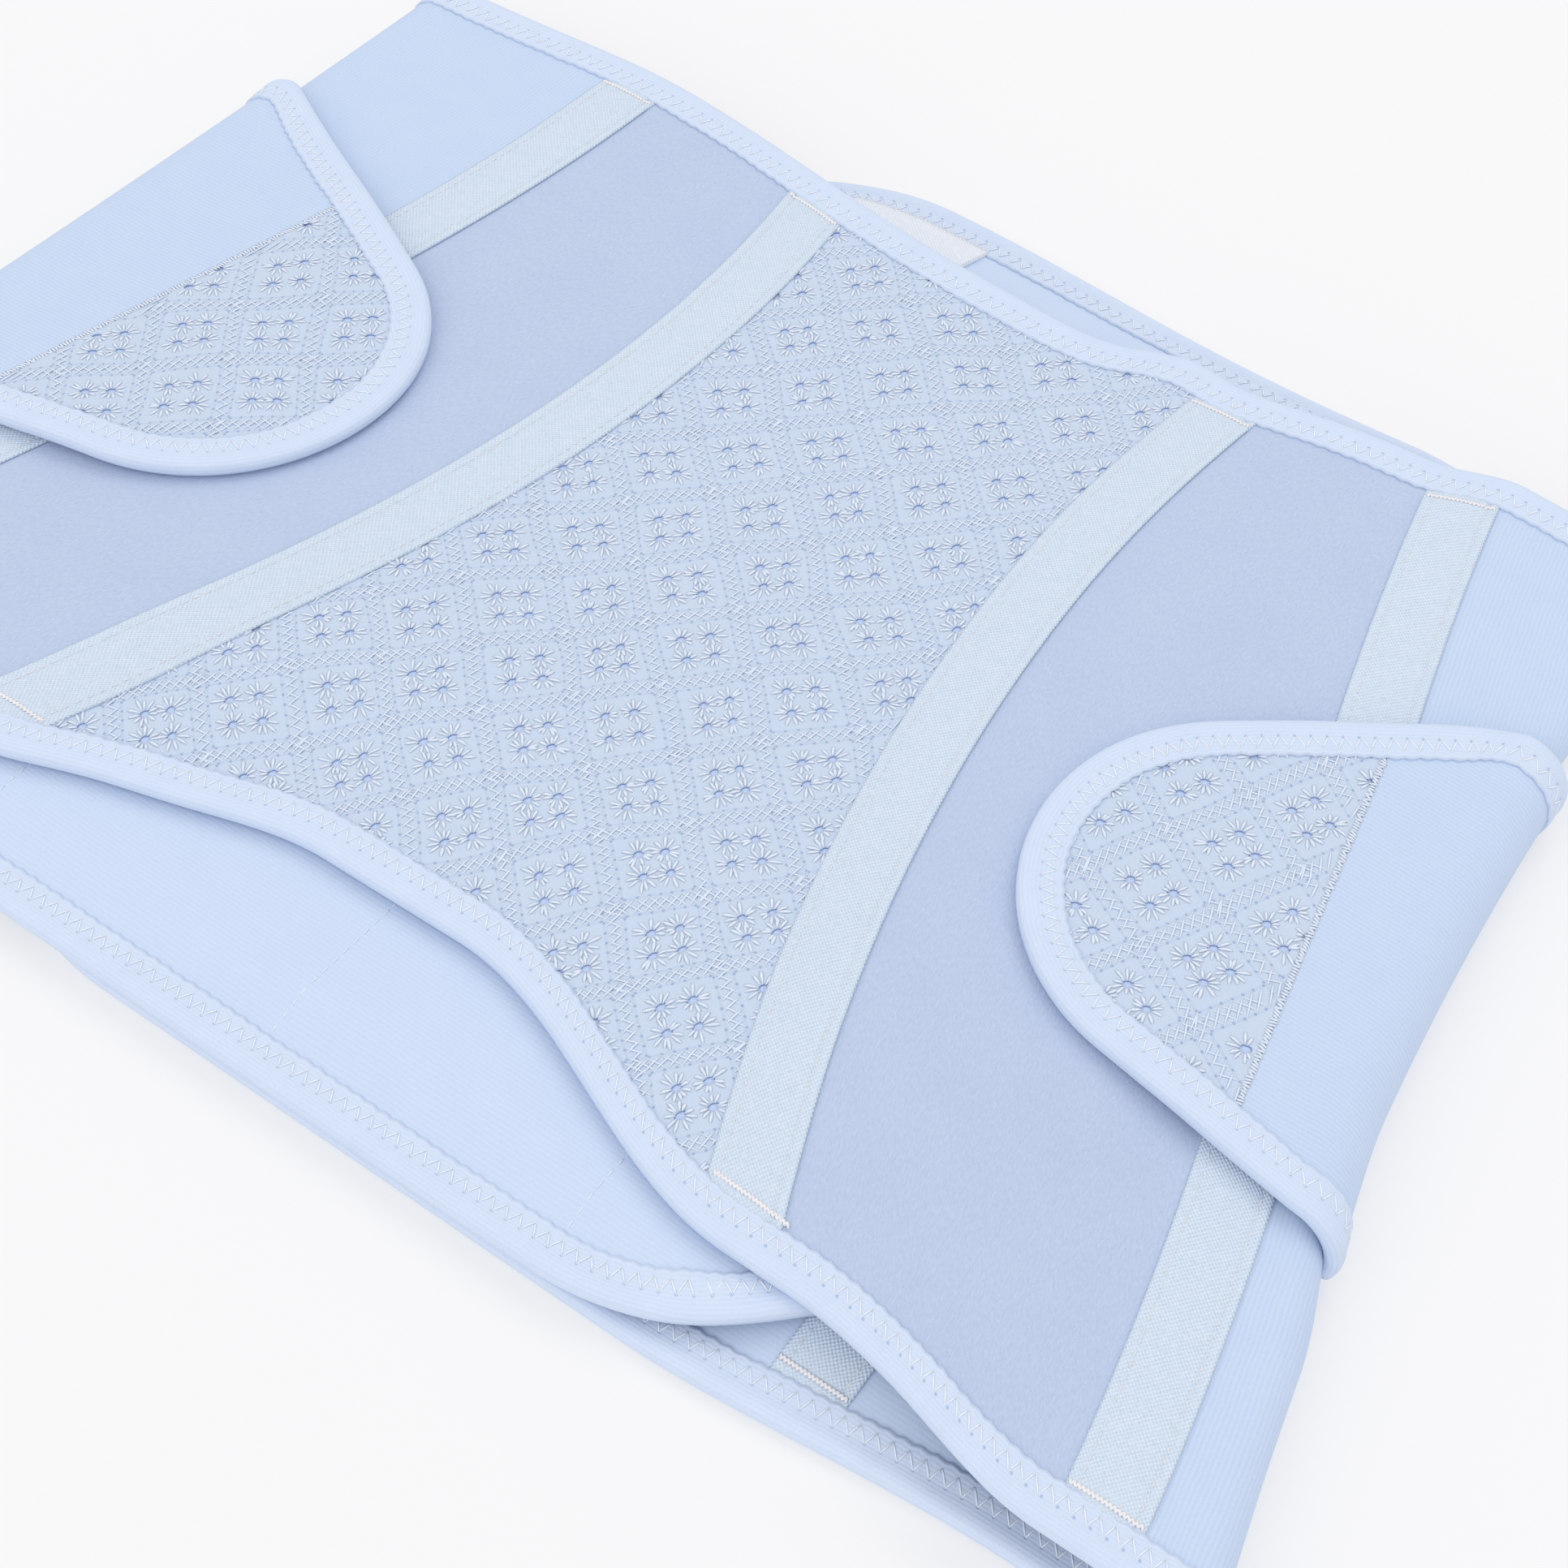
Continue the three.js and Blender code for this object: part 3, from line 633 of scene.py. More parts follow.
# front panels
frontGrid = {"backing": (60, 90), "loop": (44, 150)}


def frontColumns(leftTape, rightTape, put):
    half = cloth["gap"] / 2
    return between(lambda u, y: lerp(seamX(leftTape, y) + half, seamX(rightTape, y) - half, u), lowHem, highHem, put)


# each lattice: the middle of one cell, the steps to the next cells in mm, and the way its eyelets gape
lattices = {
    "front": ((-24.6, -27.1), (11.15, 11.95), (11.65, -10.9), (2, -1)),
    "left": ((-120.4, -36.6), (12.2, 10.8), (10.05, -14.2), (1, 0.1)),
    "right": ((105.3, -11.4), (6.85, 15.0), (16.6, -9.0), (2, 1)),
}


def toCells(name, x, y):
    (ox, oy), (px, py), (qx, qy), _ = lattices[name]
    det = px * qy - py * qx
    dx, dy = x - ox, y - oy
    return (dx * qy - dy * qx) / det, (px * dy - py * dx) / det


def fromCells(name, a, b):
    (ox, oy), (px, py), (qx, qy), _ = lattices[name]
    x, y = ox + a * px + b * qx, oy + a * py + b * qy
    size = lace["slackSize"]
    return x + lace["slack"] * wander(x, y, size), y + lace["slack"] * wander(y, x + 5 * size, size)


slit = {"longer": 0.15, "narrower": 0.28, "rim": (0.065, 0.12)}


def gape(name, da, db):  # draws a round eyelet out into a slit
    way = Vector(lattices[name][3]).normalized()
    middle = Vector((math.copysign(lace["eyelet"], da), math.copysign(lace["eyelet"], db)))
    off = Vector((da, db)) - middle
    along = way * off.dot(way)
    drawn = slit["longer"] * along - slit["narrower"] * (off - along)
    return middle + off + drawn * (1 - ease(off.length, *slit["rim"]))


# one lattice cell: four open eyelets, each a ring of faces drawn in from a quarter of the cell and turned down
eyeletRings = [(0.0, 0.0, 0.0), (0.5, 0.15, 0.04), (1.0, 0.105, 0.06), (1.0, 0.062, 0.0), (1.0, 0.052, -0.3)]


def makeEyeletCell():
    bm = bmesh.new()
    bmesh.ops.create_circle(bm, cap_ends=True, segments=16, radius=1)
    bm.faces.ensure_lookup_table()
    middle = bm.faces[0]
    rings = [middle.verts[:]]
    for _ in eyeletRings[1:]:
        bmesh.ops.inset_individual(bm, faces=[middle], thickness=0.15)
        rings.append(middle.verts[:])
    for (share, radius, height), ring in zip(eyeletRings, rings):
        for vert in ring:
            angle = math.atan2(vert.co.y, vert.co.x)
            way = Vector((math.cos(angle), math.sin(angle), 0))
            quarter = Vector((0.25, 0.25, 0)) + way * (0.25 / max(abs(way.x), abs(way.y)))
            hole = Vector((lace["eyelet"], lace["eyelet"], 0)) + way * radius
            vert.co = quarter.lerp(hole, share)
            vert.co.z = height
    bmesh.ops.delete(bm, geom=[middle], context="FACES_ONLY")
    bmesh.ops.spin(bm, geom=bm.verts[:] + bm.edges[:] + bm.faces[:], cent=(0, 0, 0), axis=(0, 0, 1),
                   angle=1.5 * math.pi, steps=3, use_duplicate=True)
    bmesh.ops.remove_doubles(bm, verts=bm.verts[:], dist=1e-4)
    bmesh.ops.recalc_face_normals(bm, faces=bm.faces[:])
    return newMesh("eyeletCell", bm)


eyeletCell = makeEyeletCell()


def laceTop(put, x, y, height):  # the upper face of the eyelet cloth
    return raised(put(x, y), cloth["thick"] / 2 + height)


def layEyeletCloth(name, lattice, put, trim, node):  # trim brings a place inside the piece's outline
    shape = [v.co.copy() for v in eyeletCell.vertices]
    cells = []
    for cell in latticeCells:
        middle = Vector(fromCells(lattice, *cell))
        if (middle - Vector(trim(*middle))).length < lace["near"]:
            cells.append(cell)
    bm = bmesh.new()
    for _ in cells:
        bm.from_mesh(eyeletCell)
    spread = {}
    outside = set()
    for index, vert in enumerate(bm.verts):
        a, b = cells[index // len(shape)]
        da, db, height = shape[index % len(shape)]
        spread[vert] = (a + da, b + db)
        da, db = gape(lattice, da, db)
        spot = Vector(fromCells(lattice, a + da, b + db))
        kept = Vector(trim(*spot))
        if (kept - spot).length > 1e-6:
            outside.add(vert)
            spread[vert] = toCells(lattice, *kept)
        vert.co = laceTop(put, *kept, height) * mm
    spreadUv(bm, spread)
    lost = [f for f in bm.faces if all(v in outside for v in f.verts)]
    bmesh.ops.delete(bm, geom=lost, context="FACES")
    bmesh.ops.remove_doubles(bm, verts=bm.verts[:], dist=0.02 * mm)
    bmesh.ops.dissolve_degenerate(bm, dist=0.01 * mm, edges=bm.edges[:])
    bmesh.ops.reverse_faces(bm, faces=bm.faces[:])  # the lattice's steps turn clockwise
    giveWall(addPiece(name, bm, [cambric], node), lace["thick"], -1)


def trimFront(x, y):
    half = cloth["gap"] / 2
    y = min(max(y, lowHem(x)), highHem(x))
    return min(max(x, seamX("left_inner_tape", y) + half), seamX("right_inner_tape", y) - half), y


def lowered(put, drop):
    return lambda x, y: raised(put(x, y), -drop)


layEyeletCloth("lacePanel", "front", onFront, trimFront, "lace_panel")
layCloth("lacePanelBacking", frontGrid["backing"],
         frontColumns("left_inner_tape", "right_inner_tape", lowered(onFront, lace["backingDrop"])),
         lace["backing"], [backingCloth])
for side, tapes in {"left": ("left_outer_tape", "left_inner_tape"),
                    "right": ("right_inner_tape", "right_outer_tape")}.items():
    layCloth(side + "LoopPanel", frontGrid["loop"], frontColumns(*tapes, onFront), cloth["thick"], [loopPile],
             side + "_loop_panel")
print("front panels laid")

# sides, folds and flaps in one sheet each
sheetGrid = {"grid": (150, 96), "shares": {"side": 45, "fold": 26, "ramp": 70, "flap": 115, "corner": 55}}


def sideColumns(side):
    f, shares, hem = flaps[side], sheetGrid["shares"], cloth["hem"]
    sign, rampTo, corner, straightTo = f["sign"], f["rampTo"], f["corner"], f["reach"] - f["corner"]
    centre, put = functools.partial(foldCentre, side), functools.partial(onFlap, side)

    def seam(y):
        return seamX(side + "_outer_tape", y) + sign * cloth["gap"] / 2

    def flapHigh(q):
        return flapEdges(side, q)[0] - hem

    def flapLow(q):
        return flapEdges(side, q)[1] + hem

    onEdge = [meet(lambda y: sign * centre(y), e) for e in (lowHem, highHem)]
    under = [meet(lambda y: -centre(y), e) for e in (flapLow, flapHigh)]

    def turn(t):
        return lambda v: onFold(side, t * math.pi, lerp(lerp(*onEdge, v), lerp(*under, v), t))

    return inTurn([
        (shares["side"], between(lambda t, y: lerp(seam(y), sign * centre(y), t), lowHem, highHem, onFront)),
        (shares["fold"], turn),
        (shares["ramp"], between(lambda t, y: t * rampTo - centre(y), flapLow, flapHigh, put)),
        (shares["flap"], between(lambda t, y: lerp(rampTo - centre(y), straightTo, t), flapLow, flapHigh, put)),
        (shares["corner"], between(
            lambda t, y: straightTo + (corner - hem) * math.sin(t * math.pi / 2),
            lambda q: flapCorner(side, q, hem)[1], lambda q: flapCorner(side, q, hem)[0], put)),
    ])


for side, node in {"left": "left_side_and_inner_flap", "right": "right_side_and_outer_flap"}.items():
    layCloth(side + "SideAndFlap", sheetGrid["grid"], sideColumns(side), cloth["thick"], [jerseyUp, jerseyInside],
             node, flip=side == "left")
print("sides and flaps laid")

# wings
wingGrid = {"cloth": (70, 70), "backing": (40, 50), "shares": {"root": 10, "turn": 30, "top": 40}}


def wingColumns(side):
    hem = cloth["hem"]
    tip = wings[side]["tip"]
    low, high = wingFoldEdge(side, -1) + hem, wingFoldEdge(side, 1) - hem

    def root(t):
        def point(v):
            y = lerp(low, high, v)
            x = wingTurn(side, y)[0] - (1 - t) * wingLay["root"]
            return Vector((folds[side]["sign"] * x, y, cloth["thick"] / 2))
        return point

    def turn(t):
        return lambda v: onWingTurn(side, 1 - t, lerp(low, high, v))

    top = between(lambda t, y: lerp(wingTurn(side, y)[0], wingSeam(y), t),
                  lambda x: wingEdge(side, -1, x - tip) + hem, lambda x: wingEdge(side, 1, x - tip) - hem,
                  lambda x, y: onWing(side, x, y))
    shares = wingGrid["shares"]
    return inTurn([(shares["root"], root), (shares["turn"], turn), (shares["top"], top)])


def wingLaceEdge(side, way, away):  # away from the lace's own rounded end
    hem = cloth["hem"] * ease(away, 0, wings[side]["upper" if way > 0 else "lower"][0])
    return wingEdge(side, way, away) - way * hem


def wingBackingColumns(side):
    start = wings[side]["tip"] + cloth["hem"]
    first = math.sqrt(wingLay["tipHalf"] ** 2 / (2 * wings[side]["upper"][0]) / (wingLay["seamAt"] - start))
    return between(lambda u, y: lerp(start, wingSeam(y) - wingLay["backingGap"], lerp(first, 1, u) ** 2),
                   lambda x: wingLaceEdge(side, -1, x - start), lambda x: wingLaceEdge(side, 1, x - start),
                   lowered(onSideWing(side), lace["backingDrop"]))


def trimWing(side):
    sign = folds[side]["sign"]
    start = wings[side]["tip"] + cloth["hem"]

    def trim(x, y):
        away = max(wingLay["laceFrom"], min(sign * x, wingSeam(y) - wingLay["laceGap"]) - start)
        y = min(max(y, wingLaceEdge(side, -1, away)), wingLaceEdge(side, 1, away))
        return sign * (start + away), y
    return trim


def onSideWing(side):
    return lambda x, y: onWing(side, abs(x), y)


for side in wings:
    layCloth(side + "WingCloth", wingGrid["cloth"], wingColumns(side), cloth["thick"], [jerseyAcross, jerseyInside],
             side + "_wing", flip=side == "right")
    layEyeletCloth(side + "WingLaceCloth", side, onSideWing(side), trimWing(side), side + "_wing_lace")
    layCloth(side + "WingBacking", wingGrid["backing"], wingBackingColumns(side), lace["backing"], [backingCloth],
             flip=side == "left")
print("wings laid")

# woven tapes: the bone under each one crowns it, a cord runs along one selvedge, the ends go under the bindings
tapeGrid = {"grid": (28, 150), "cord": 0.7, "cordRise": 0.16, "cordWide": 0.5, "groove": 1.9, "grooveDeep": 0.2,
            "grooveWide": 0.45, "tuckFrom": 11.0, "tuckTo": 8.3, "tuck": 0.3}


def tapeRise(u, crowned, corded):  # corded is 1 where the cord is on the +x selvedge, -1 on the other
    across = (u - 0.5) * tape["wide"]
    fromCord = tape["wide"] / 2 - corded * across
    cord = tapeGrid["cordRise"] * math.exp(-((fromCord - tapeGrid["cord"]) / tapeGrid["cordWide"]) ** 2)
    groove = tapeGrid["grooveDeep"] * math.exp(-((fromCord - tapeGrid["groove"]) / tapeGrid["grooveWide"]) ** 2)
    return crowned * (1 - (2 * u - 1) ** 2) + cord - groove


def tuckUnder(toEdge):
    return tapeGrid["tuck"] * (1 - ease(toEdge, tapeGrid["tuckTo"], tapeGrid["tuckFrom"]))


def onTape(name, u, x, y):
    corded = 1 if name in ("left_outer_tape", "right_inner_tape", "right_outer_tape") else -1
    rise = cloth["thick"] / 2 + tape["gap"] + tape["thick"] / 2 + tapeRise(u, tape["crown"], corded)
    toEdge = min(topEdge(x) - y, y - bottomEdge(x))
    return raised(onFront(x, y), rise - tuckUnder(toEdge))


def tapeX(name, u, y):
    slope = seamX(name, y + 1) - seamX(name, y)
    return seamX(name, y) + (u - 0.5) * tape["wide"] * math.hypot(1, slope)


def seamTapeColumns(name):
    def column(u):
        return between(lambda t, y: tapeX(name, t, y), lambda x: bottomEdge(x) + tape["end"],
                       lambda x: topEdge(x) - tape["end"], lambda x, y: onTape(name, u, x, y))(u)
    return column


def flapTapeColumns(start, end, thick, corded):
    lift = cloth["thick"] / 2 + tape["gap"] + thick / 2

    def column(u):
        rise = lift + (tapeRise(u, 0.0, 1) if corded else 0.0)

        def put(x, y):
            top, bottom = flapEdges("right", -x)
            return raised(onFlap("right", -x, y), rise - tuckUnder(min(top - y, y - bottom)))
        return between(lambda t, y: lerp(start, end, t), lambda x: flapEdges("right", -x)[1] + tape["end"],
                       lambda x: flapEdges("right", -x)[0] - tape["end"], put)(u)
    return column


def stripName(node):
    first, *others = node.split("_")
    return first + "".join(word.title() for word in others) + "Strip"


flapTape = {"x": 110.5, "ends": (103.5, 117.5)}
hookStrip = {"ends": (-52, -20), "thick": 1.2, "grid": (56, 150)}
for node in seams:
    layCloth(stripName(node), tapeGrid["grid"], seamTapeColumns(node), tape["thick"], [boningTape], node)
layCloth(stripName("outer_flap_tape"), tapeGrid["grid"], flapTapeColumns(*flapTape["ends"], tape["thick"], True),
         tape["thick"], [boningTape], "outer_flap_tape")
layCloth(stripName("hook_tape"), hookStrip["grid"], flapTapeColumns(*hookStrip["ends"], hookStrip["thick"], False),
         hookStrip["thick"], [hookTape], "hook_tape")
print("tapes laid")

# bindings: a strip rolled over each edge, flat under the zigzag, with a loose lip inside it
bindUpper = [(8.0, 0.92), (7.4, 1.12), (6.7, 1.2), (5.4, 1.2), (4.6, 1.22), (4.0, 1.26), (2.9, 1.4), (1.9, 1.42),
             (1.1, 1.3), (0.55, 1.0), (0.3, 0.45)]
bindLower = [(0.3, -0.45), (0.8, -1.2), (2.0, -1.42), (4.5, -1.2), (8.0, -1.15)]
bindSection = bindUpper + bindLower
pucker = {"scallop": 0.2, "dip": 0.16, "wide": 0.7,  # every needle draws the strip in a little
          "sway": 0.2, "swaySize": 5, "lip": (6, 8)}
edgeShares = {"turn": 17, "front": 300, "flap": 110, "wingTurn": 20, "wingSide": 45, "wingTip": 1.2}
wingBound = {"turn": 4 / 6, "slant": 0.3}  # how much of a wing's turn is bound, and where its slanted side sets in


def edgeFrame(edge, t, depth):  # a point at a depth inside the edge, and the normal there
    step = 0.002
    here = edge(t, depth)
    along = edge(min(1, t + step), depth) - edge(max(0, t - step), depth)
    inward = edge(t, depth + 0.4) - edge(t, max(0, depth - 0.4))
    return here, along.cross(inward).normalized()


def edgeRun(edge, depth):  # lengths along an edge, to find the place of each stitch
    count = 800
    points = [edge(i / count, depth) for i in range(count + 1)]
    runs = [0.0]
    for a, b in zip(points, points[1:]):
        runs.append(runs[-1] + (b - a).length)
    return runs


def alongEdge(runs, length):
    high = min(max(1, bisect.bisect_left(runs, length)), len(runs) - 1)
    span = max(1e-9, runs[high] - runs[high - 1])
    return (high - 1 + (length - runs[high - 1]) / span) / (len(runs) - 1)


def layBinding(name, node, edge, up):  # up is 1 where the edge's normal faces out of the band, else -1
    runs = edgeRun(edge, zigzag["outer"])
    columns = round(runs[-1] / zigzag["step"])
    step = runs[-1] / columns
    rows = len(bindSection) - 1
    across = [0.0]
    for (d0, h0), (d1, h1) in zip(bindSection, bindSection[1:]):
        across.append(across[-1] + math.hypot(d1 - d0, h1 - h0))
    bm = bmesh.new()
    bmesh.ops.create_grid(bm, x_segments=columns, y_segments=rows, size=0.5)
    spread = {}
    for vert in bm.verts:
        i, j = round((vert.co.x + 0.5) * columns), round((vert.co.y + 0.5) * rows)
        depth, height = bindSection[j]
        needle = zigzag["inner"] if i % 2 else zigzag["outer"]
        if height > 0:
            height -= pucker["dip"] * math.exp(-((depth - needle) / pucker["wide"]) ** 2)
        sway = pucker["sway"] * wander(i * step, 3 * len(name), pucker["swaySize"])
        depth += (pucker["scallop"] * (-1 if i % 2 else 1) + sway) * ease(depth, *pucker["lip"])
        here, normal = edgeFrame(edge, alongEdge(runs, runs[-1] * i / columns), depth)
        spread[vert] = (i * step * mm, across[j] * mm)
        vert.co = (here + normal * (height * up)) * mm
    spreadUv(bm, spread)
    giveWall(addPiece(name, bm, [bindingJersey], node), binding["thick"], 0)
    needles = []
    for k in range(columns + 1):
        depth = zigzag["inner"] if k % 2 else zigzag["outer"]
        here, normal = edgeFrame(edge, alongEdge(runs, k * step), depth)
        normal = normal * up
        needles.append((here + normal * (zigzag["over"] + binding["thick"] / 2), normal))
    sewStrands(name + "Zigzag", [
        plainStrand(a, b, zigzag, up=(upA + upB).normalized())
        for (a, upA), (b, upB) in zip(needles, needles[1:])], sewingThread)


def frontEdge(line, which, inward):
    ends = {}
    for side in folds:
        sign = folds[side]["sign"]
        start = meet(lambda y: sign * foldCentre(side, y), line)
        finish = meet(lambda y: -foldCentre(side, y), lambda q: flapEdges(side, q)[which])
        ends[side] = (start, finish)

    def turn(side, t, depth):
        return onFold(side, t * math.pi, lerp(*ends[side], t) + inward * depth)

    def along(t, depth):
        def xAt(y):
            return lerp(-foldCentre("left", y), foldCentre("right", y), t)
        y = meet(xAt, line) + inward * depth
        return onFront(xAt(y), y)

    return inTurn([
        (edgeShares["turn"], lambda t, depth: turn("left", 1 - t, depth)),
        (edgeShares["front"], along),
        (edgeShares["turn"], lambda t, depth: turn("right", t, depth)),
    ])


def flapEdge(side):
    f = flaps[side]
    start = f["reach"] - f["corner"]

    def straight(first, last, which, inward):
        def place(t, depth):
            def qAt(y):
                return lerp(first(y), last(y), t)
            y = meet(qAt, lambda q: flapEdges(side, q)[which]) + inward * depth
            return onFlap(side, qAt(y), y)
        return place

    def atFold(y):
        return cloth["gap"] - foldCentre(side, y)

    def atRamp(y):
        return f["rampTo"] - foldCentre(side, y)

    def atCorner(y):
        return start

    def rounded(turned, depth):
        middle = f["bottom"] + f["corner"] if turned < 0 else f["top"] - f["corner"]
        q = start + (f["corner"] - depth) * math.cos(turned)
        return onFlap(side, q, middle + (f["corner"] - depth) * math.sin(turned))

    def end(t, depth):
        return onFlap(side, f["reach"] - depth, lerp(f["bottom"] + f["corner"], f["top"] - f["corner"], t))

    quarter = math.pi / 2
    return inTurn([
        (f["rampTo"], straight(atFold, atRamp, 1, 1)),
        (edgeShares["flap"], straight(atRamp, atCorner, 1, 1)),
        (f["corner"] * quarter, lambda t, depth: rounded(quarter * (t - 1), depth)),
        (edgeShares["flap"], end),
        (f["corner"] * quarter, lambda t, depth: rounded(quarter * t, depth)),
        (edgeShares["flap"], straight(atCorner, atRamp, 0, -1)),
        (f["rampTo"], straight(atRamp, atFold, 0, -1)),
    ])


def wingOutline(side):
    tip, middle = wings[side]["tip"], wings[side]["middle"]

    def stretch(way):
        radius, slope = wings[side]["upper" if way > 0 else "lower"]
        arcEnd = tip + radius * (1 - slope / math.hypot(1, slope))
        lean = math.atan(slope)
        foldEdge = wingFoldEdge(side, way)

        def turn(t, depth):
            return onWingTurn(side, (1 - t) * wingBound["turn"], foldEdge - way * depth)

        def straight(t, depth):
            def xAt(y):
                return lerp(wingTurn(side, y)[0], arcEnd, t)
            slant = ease(t, 0, wingBound["slant"])
            edgeY = meet(xAt, lambda x: wingEdge(side, way, x - tip))
            y = edgeY - way * depth * lerp(1, math.cos(lean), slant)
            return onWing(side, xAt(y) + slant * depth * math.sin(lean), y)

        def rounded(t, depth):
            angle = lerp(math.pi / 2 - lean, 0, t)
            r = radius - depth
            return onWing(side, tip + radius - r * math.cos(angle), middle + way * r * math.sin(angle))

        return [(edgeShares["wingTurn"], turn), (edgeShares["wingSide"], straight),
                (edgeShares["wingTip"] * radius, rounded)]

    def backwards(part):
        return lambda t, depth: part(1 - t, depth)

    returning = [(share, backwards(part)) for share, part in reversed(stretch(1))]
    return inTurn(stretch(-1) + returning)


bindings = {
    "frontTopBinding": ("front_top_binding", frontEdge(topEdge, 0, -1), -1),
    "frontBottomBinding": ("front_bottom_binding", frontEdge(bottomEdge, 1, 1), 1),
    "innerFlapBinding": ("inner_flap_binding", flapEdge("left"), 1),
    "outerFlapBinding": ("outer_flap_binding", flapEdge("right"), -1),
    "leftWingBinding": ("left_wing_binding", wingOutline("left"), 1),
    "rightWingBinding": ("right_wing_binding", wingOutline("right"), -1),
}
for name, (node, edge, up) in bindings.items():
    layBinding(name, node, edge, up)
print("bindings rolled and sewn")

# embroidery: four eyelets ringed with petals in each cell, and crossed stitches along the lattice
petals = {"count": 11, "turned": (-0.3, 0.3), "from": 0.8, "to": 2.95, "ragged": (-0.45, 0.35), "outward": 0.4,
          "tipUp": 0.08, "lift": 0.14, "slim": 0.27, "wide": 0.46, "fuller": (0.8, 1.15), "high": 0.1}
crosses = {"count": 8, "half": 1.55, "wider": (0.9, 1.1), "drift": (-0.012, 0.012), "longer": (-0.1, 0.1),
           "lift": 0.13, "over": 0.1, "wide": 0.23, "high": 0.11, "spans": {"rows": 1.7, "columns": 1.15}}


def embroider(name, lattice, put, inside):
    rings, bands = [], []

    def ringEyelet(cx, cy, away):
        for k in range(petals["count"]):
            angle = 2 * math.pi * (k + dice.uniform(*petals["turned"])) / petals["count"]
            reach = petals["to"] + petals["outward"] * math.cos(angle - away) + dice.uniform(*petals["ragged"])
            start = cx + petals["from"] * math.cos(angle), cy + petals["from"] * math.sin(angle)
            end = cx + reach * math.cos(angle), cy + reach * math.sin(angle)
            if inside(*end) and inside(*start):
                wide = petals["wide"] * dice.uniform(*petals["fuller"])
                rings.append((laceTop(put, *start, 0.0), laceTop(put, *end, petals["tipUp"]), Vector((0, 0, 1)),
                              petals["lift"], petals["slim"], wide, petals["high"]))

    def crossBand(a, b, along, span):
        half, step = crosses["half"] / lace["pitch"], 1 / crosses["count"]
        for k in range(crosses["count"]):
            for way in (-1, 1):
                s = (k + 0.25 * way) * step - 0.5 + dice.uniform(*crosses["drift"])
                e = s + (span + dice.uniform(*crosses["longer"])) * step
                w = half * way * dice.uniform(*crosses["wider"])
                cells = ((a + s, b + 0.5 + w), (a + e, b + 0.5 - w))
                if along == "columns":
                    cells = ((a + 0.5 + w, b + s), (a + 0.5 - w, b + e))
                start, end = (fromCells(lattice, *c) for c in cells)
                if inside(*start) and inside(*end):
                    over = crosses["over"] if way > 0 else 0.0
                    bands.append(plainStrand(laceTop(put, *start, 0.0), laceTop(put, *end, 0.0), crosses, over))

    for a, b in latticeCells:
        mx, my = fromCells(lattice, a, b)
        for da in (-1, 1):
            for db in (-1, 1):
                cx, cy = fromCells(lattice, a + da * lace["eyelet"], b + db * lace["eyelet"])
                ringEyelet(cx, cy, math.atan2(cy - my, cx - mx))
        for along, span in crosses["spans"].items():
            crossBand(a, b, along, span)
    sewStrands(name + "Petals", rings, embroideryThread)
    sewStrands(name + "Crosses", bands, embroideryThread)


margin = {"front": 5, "wingTip": 5, "wingSide": 1, "wingSeam": 0.8}  # plain cloth left under tapes and bindings


def insideLacePanel(x, y):
    clear = margin["front"]
    if not bottomEdge(x) + clear < y < topEdge(x) - clear:
        return False
    return seamX("left_inner_tape", y) + clear < x < seamX("right_inner_tape", y) - clear


def insideWingLace(side):
    def inside(x, y):
        away = abs(x)
        start = wings[side]["tip"] + margin["wingTip"]
        if x * folds[side]["sign"] < start or away > wingSeam(y) - margin["wingSeam"]:
            return False
        low, high = (wingEdge(side, way, away - start) - way * margin["wingSide"] for way in (-1, 1))
        return low < y < high
    return inside


embroider("lace", "front", onFront, insideLacePanel)
for side in wings:
    embroider(side + "WingLace", side, onSideWing(side), insideWingLace(side))
print("lace embroidered")

# straight seams: running stitches along the tapes and down the inner flap, tacks across the tape ends
running = {"lift": 0.08, "wide": 0.13, "high": 0.09, "inset": 1.9, "stitch": 1.3, "space": 0.9}
innerSeams = {"x": (-72, 0, 64), "clear": 8.5, "stitch": 1.8, "space": 0.8}
tack = {"step": 0.4, "half": 0.5, "inset": 0.3, "clear": 8.9, "flapClear": 9.9, "over": 0.05, "tail": 2.4,
        "lift": 0.12, "wide": 0.3, "high": 0.16, "lean": 0.49}
onCloth = 0.03  # threads clear the cloth by this much


def runStitches(put, length, seam):  # put takes a distance from 0 to 1 along the seam
    pace = seam["stitch"] + seam["space"]
    return [plainStrand(put(k * pace / length), put((k * pace + seam["stitch"]) / length), running)
            for k in range(int(length / pace))]


def tackAcross(put, tail):  # put takes distances across and along the tape
    half = tape["wide"] / 2 - tack["inset"]
    count = int((2 * half + tail) / tack["step"])
    row = [put(-half + k * tack["step"], tack["half"] * (-1) ** k) for k in range(count + 1)]
    return [plainStrand(a, b, tack) for a, b in zip(row, row[1:])]


def tackEnd(name, way, edge, lift):
    y = meet(lambda y: seamX(name, y), edge) - way * tack["clear"]
    middleX = seamX(name, y)
    run = Vector((seamX(name, y + 1) - middleX, 1)).normalized()
    along = Vector((1, edge(middleX + 1) - edge(middleX))).normalized()
    across = Vector((run.y, -run.x))
    across = across.slerp(along, min(1, tack["lean"] / max(0.001, across.angle(along))))
    ends = [Vector((middleX, y)) + across * (s * tape["wide"] / 2) for s in (-1, 1)]
    y -= way * max(0, max(way * (e.y - edge(e.x)) for e in ends) + tack["clear"])
    middle = Vector((seamX(name, y), y))

    def put(s, t):
        spot = middle + across * s + run * t
        return raised(onTape(name, min(1, max(0, 0.5 + s / tape["wide"])), *spot), lift)
    return tackAcross(put, tack["tail"] if name == "right_inner_tape" and way < 0 else 0)


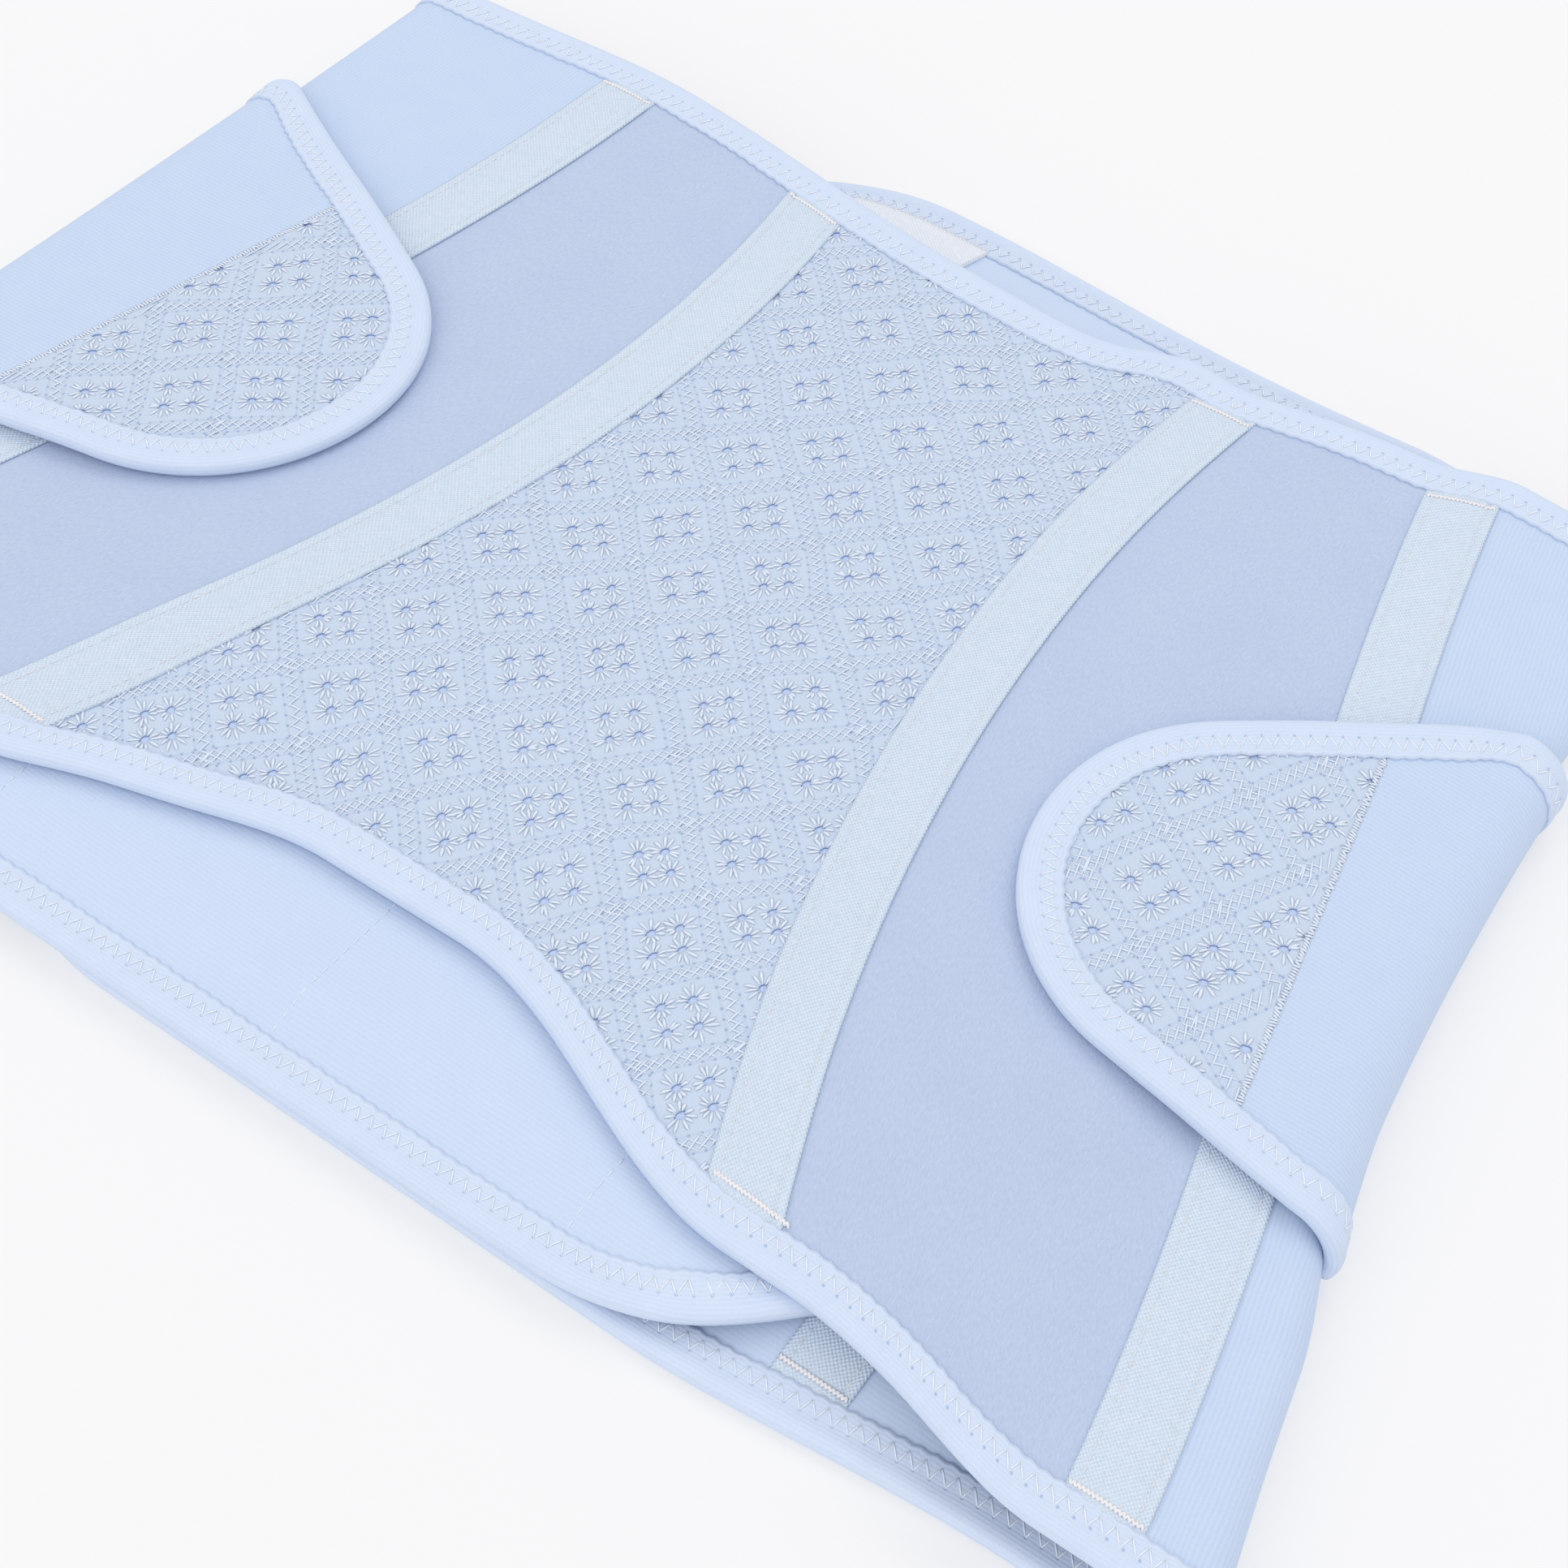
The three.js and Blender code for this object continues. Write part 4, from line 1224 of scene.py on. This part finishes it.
def tapeStitches(name):
    lift = tape["thick"] / 2 + onCloth
    inset = running["inset"] / tape["wide"]
    sewnOnFront = name in seams
    columns = seamTapeColumns(name) if sewnOnFront else flapTapeColumns(*flapTape["ends"], tape["thick"], True)
    strands = []
    for u in (inset, 1 - inset):
        point = columns(u)
        strands += runStitches(lambda t: raised(point(min(1, t)), lift), (point(1) - point(0)).length, running)
    if sewnOnFront:
        strands += tackEnd(name, -1, bottomEdge, lift) + tackEnd(name, 1, topEdge, lift)
    else:
        low = flapEdges("right", -flapTape["x"])[1] + tack["flapClear"]
        flat = cloth["thick"] / 2 + tape["gap"] + tape["thick"] + tack["over"]
        strands += tackAcross(lambda s, t: raised(onFlap("right", -flapTape["x"] - s, low + t), flat), 0)
    sewStrands(stripName(name) + "Stitches", strands, tackThread)


for name in [*seams, "outer_flap_tape"]:
    tapeStitches(name)

strands = []
for x in innerSeams["x"]:
    top, bottom = flapEdges("left", x)
    low, high = bottom + innerSeams["clear"], top - innerSeams["clear"]
    strands += runStitches(lambda t: raised(onFlap("left", x, lerp(low, high, t)), cloth["thick"] / 2 + onCloth),
                           high - low, innerSeams)
sewStrands("innerFlapStitches", strands, sewingThread)

# whipped edge where a wing's lace meets its jersey
overlock = {"step": 0.62, "half": 0.8, "spread": (0.7, 1.2), "lean": 0.35, "ends": 7, "inside": 0.3, "over": 0.05,
            "lift": 0.1, "wide": 0.3, "high": 0.08}
for side in wings:
    strands = []
    low, high = (meet(wingSeam, lambda x: wingEdge(side, way, x - wings[side]["tip"])) for way in (-1, 1))
    for k in range(int((high - low - 2 * overlock["ends"]) / overlock["step"])):
        y = low + overlock["ends"] + k * overlock["step"]
        wide = overlock["half"] * dice.uniform(*overlock["spread"])
        lean = dice.uniform(-1, 1) * overlock["lean"]
        ends = [raised(onWing(side, wingSeam(y) - overlock["inside"] + way * wide, y + way * lean),
                       cloth["thick"] / 2 + overlock["over"]) for way in (-1, 1)]
        strands.append(plainStrand(*ends, overlock))
    sewStrands(side + "WingSeamStitches", strands, embroideryThread)
print("seams stitched")


# each tape's length in mm as it was cut before sewing; the loop only builds the names of each strip and its stitches
# and leaves them unused
tapeCuts = {"left_outer_tape": 228, "left_inner_tape": 210, "right_inner_tape": 211, "right_outer_tape": 234,
            "outer_flap_tape": 238}
for name, length in tapeCuts.items():
    stripName(name) + "Stitches"
    stripName(name)

# floor, light and camera
floorLook = {"colour": "#b4b4b5", "glow": 0.445, "rough": 0.8, "size": 6.0}  # a lit acrylic table shows little shadow
bm = bmesh.new()
bmesh.ops.create_grid(bm, x_segments=2, y_segments=2, size=floorLook["size"])
floor = bpy.data.objects.new("floor", newMesh("floor", bm))
bpy.context.collection.objects.link(floor)
acrylic = bpy.data.materials.new("lit white acrylic table")
acrylic.use_nodes = True
lit = {"Base Color": linear(floorLook["colour"]), "Roughness": floorLook["rough"],
       "Emission Color": (1, 1, 1, 1), "Emission Strength": floorLook["glow"]}
for socket, value in lit.items():
    acrylic.node_tree.nodes["Principled BSDF"].inputs[socket].default_value = value
floor.data.materials.append(acrylic)

scene = bpy.context.scene
scene.view_settings.view_transform = "Standard"
studio = {"sky": 0.82, "boxes": {
    "key": {"at": (0.4, 2.2, 3.6), "power": 32.0, "size": 2.6},
    "fill": {"at": (0.0, -3.2, 3.2), "power": 50.0, "size": 4.5},
}}
world = bpy.data.worlds.new("studio")
world.use_nodes = True
sky = world.node_tree.nodes["Background"].inputs
sky["Color"].default_value = linear("#fbfbfc")
sky["Strength"].default_value = studio["sky"]
scene.world = world
for name, box in studio["boxes"].items():
    light = bpy.data.lights.new(name, "AREA")
    light.energy = box["power"]
    light.size = box["size"]
    softbox = bpy.data.objects.new(name, light)
    softbox.location = box["at"]
    softbox.rotation_euler = (-softbox.location).to_track_quat("-Z", "Y").to_euler()
    scene.collection.objects.link(softbox)

view = {"from": (252, -331.7, 453), "to": (40.2, -30, 17), "roll": 2.13, "lens": 74.53}
camera = bpy.data.cameras.new("camera")
camera.lens = view["lens"]
camera.sensor_width = 36
camera.clip_start = 0.01
eye = bpy.data.objects.new("camera", camera)
eye.location = Vector(view["from"]) * mm
aim = (Vector(view["to"]) - Vector(view["from"])).to_track_quat("-Z", "Y")
eye.rotation_euler = (aim @ Quaternion((0, 0, 1), math.radians(view["roll"]))).to_euler()
scene.collection.objects.link(eye)
scene.camera = eye
print("stage set")
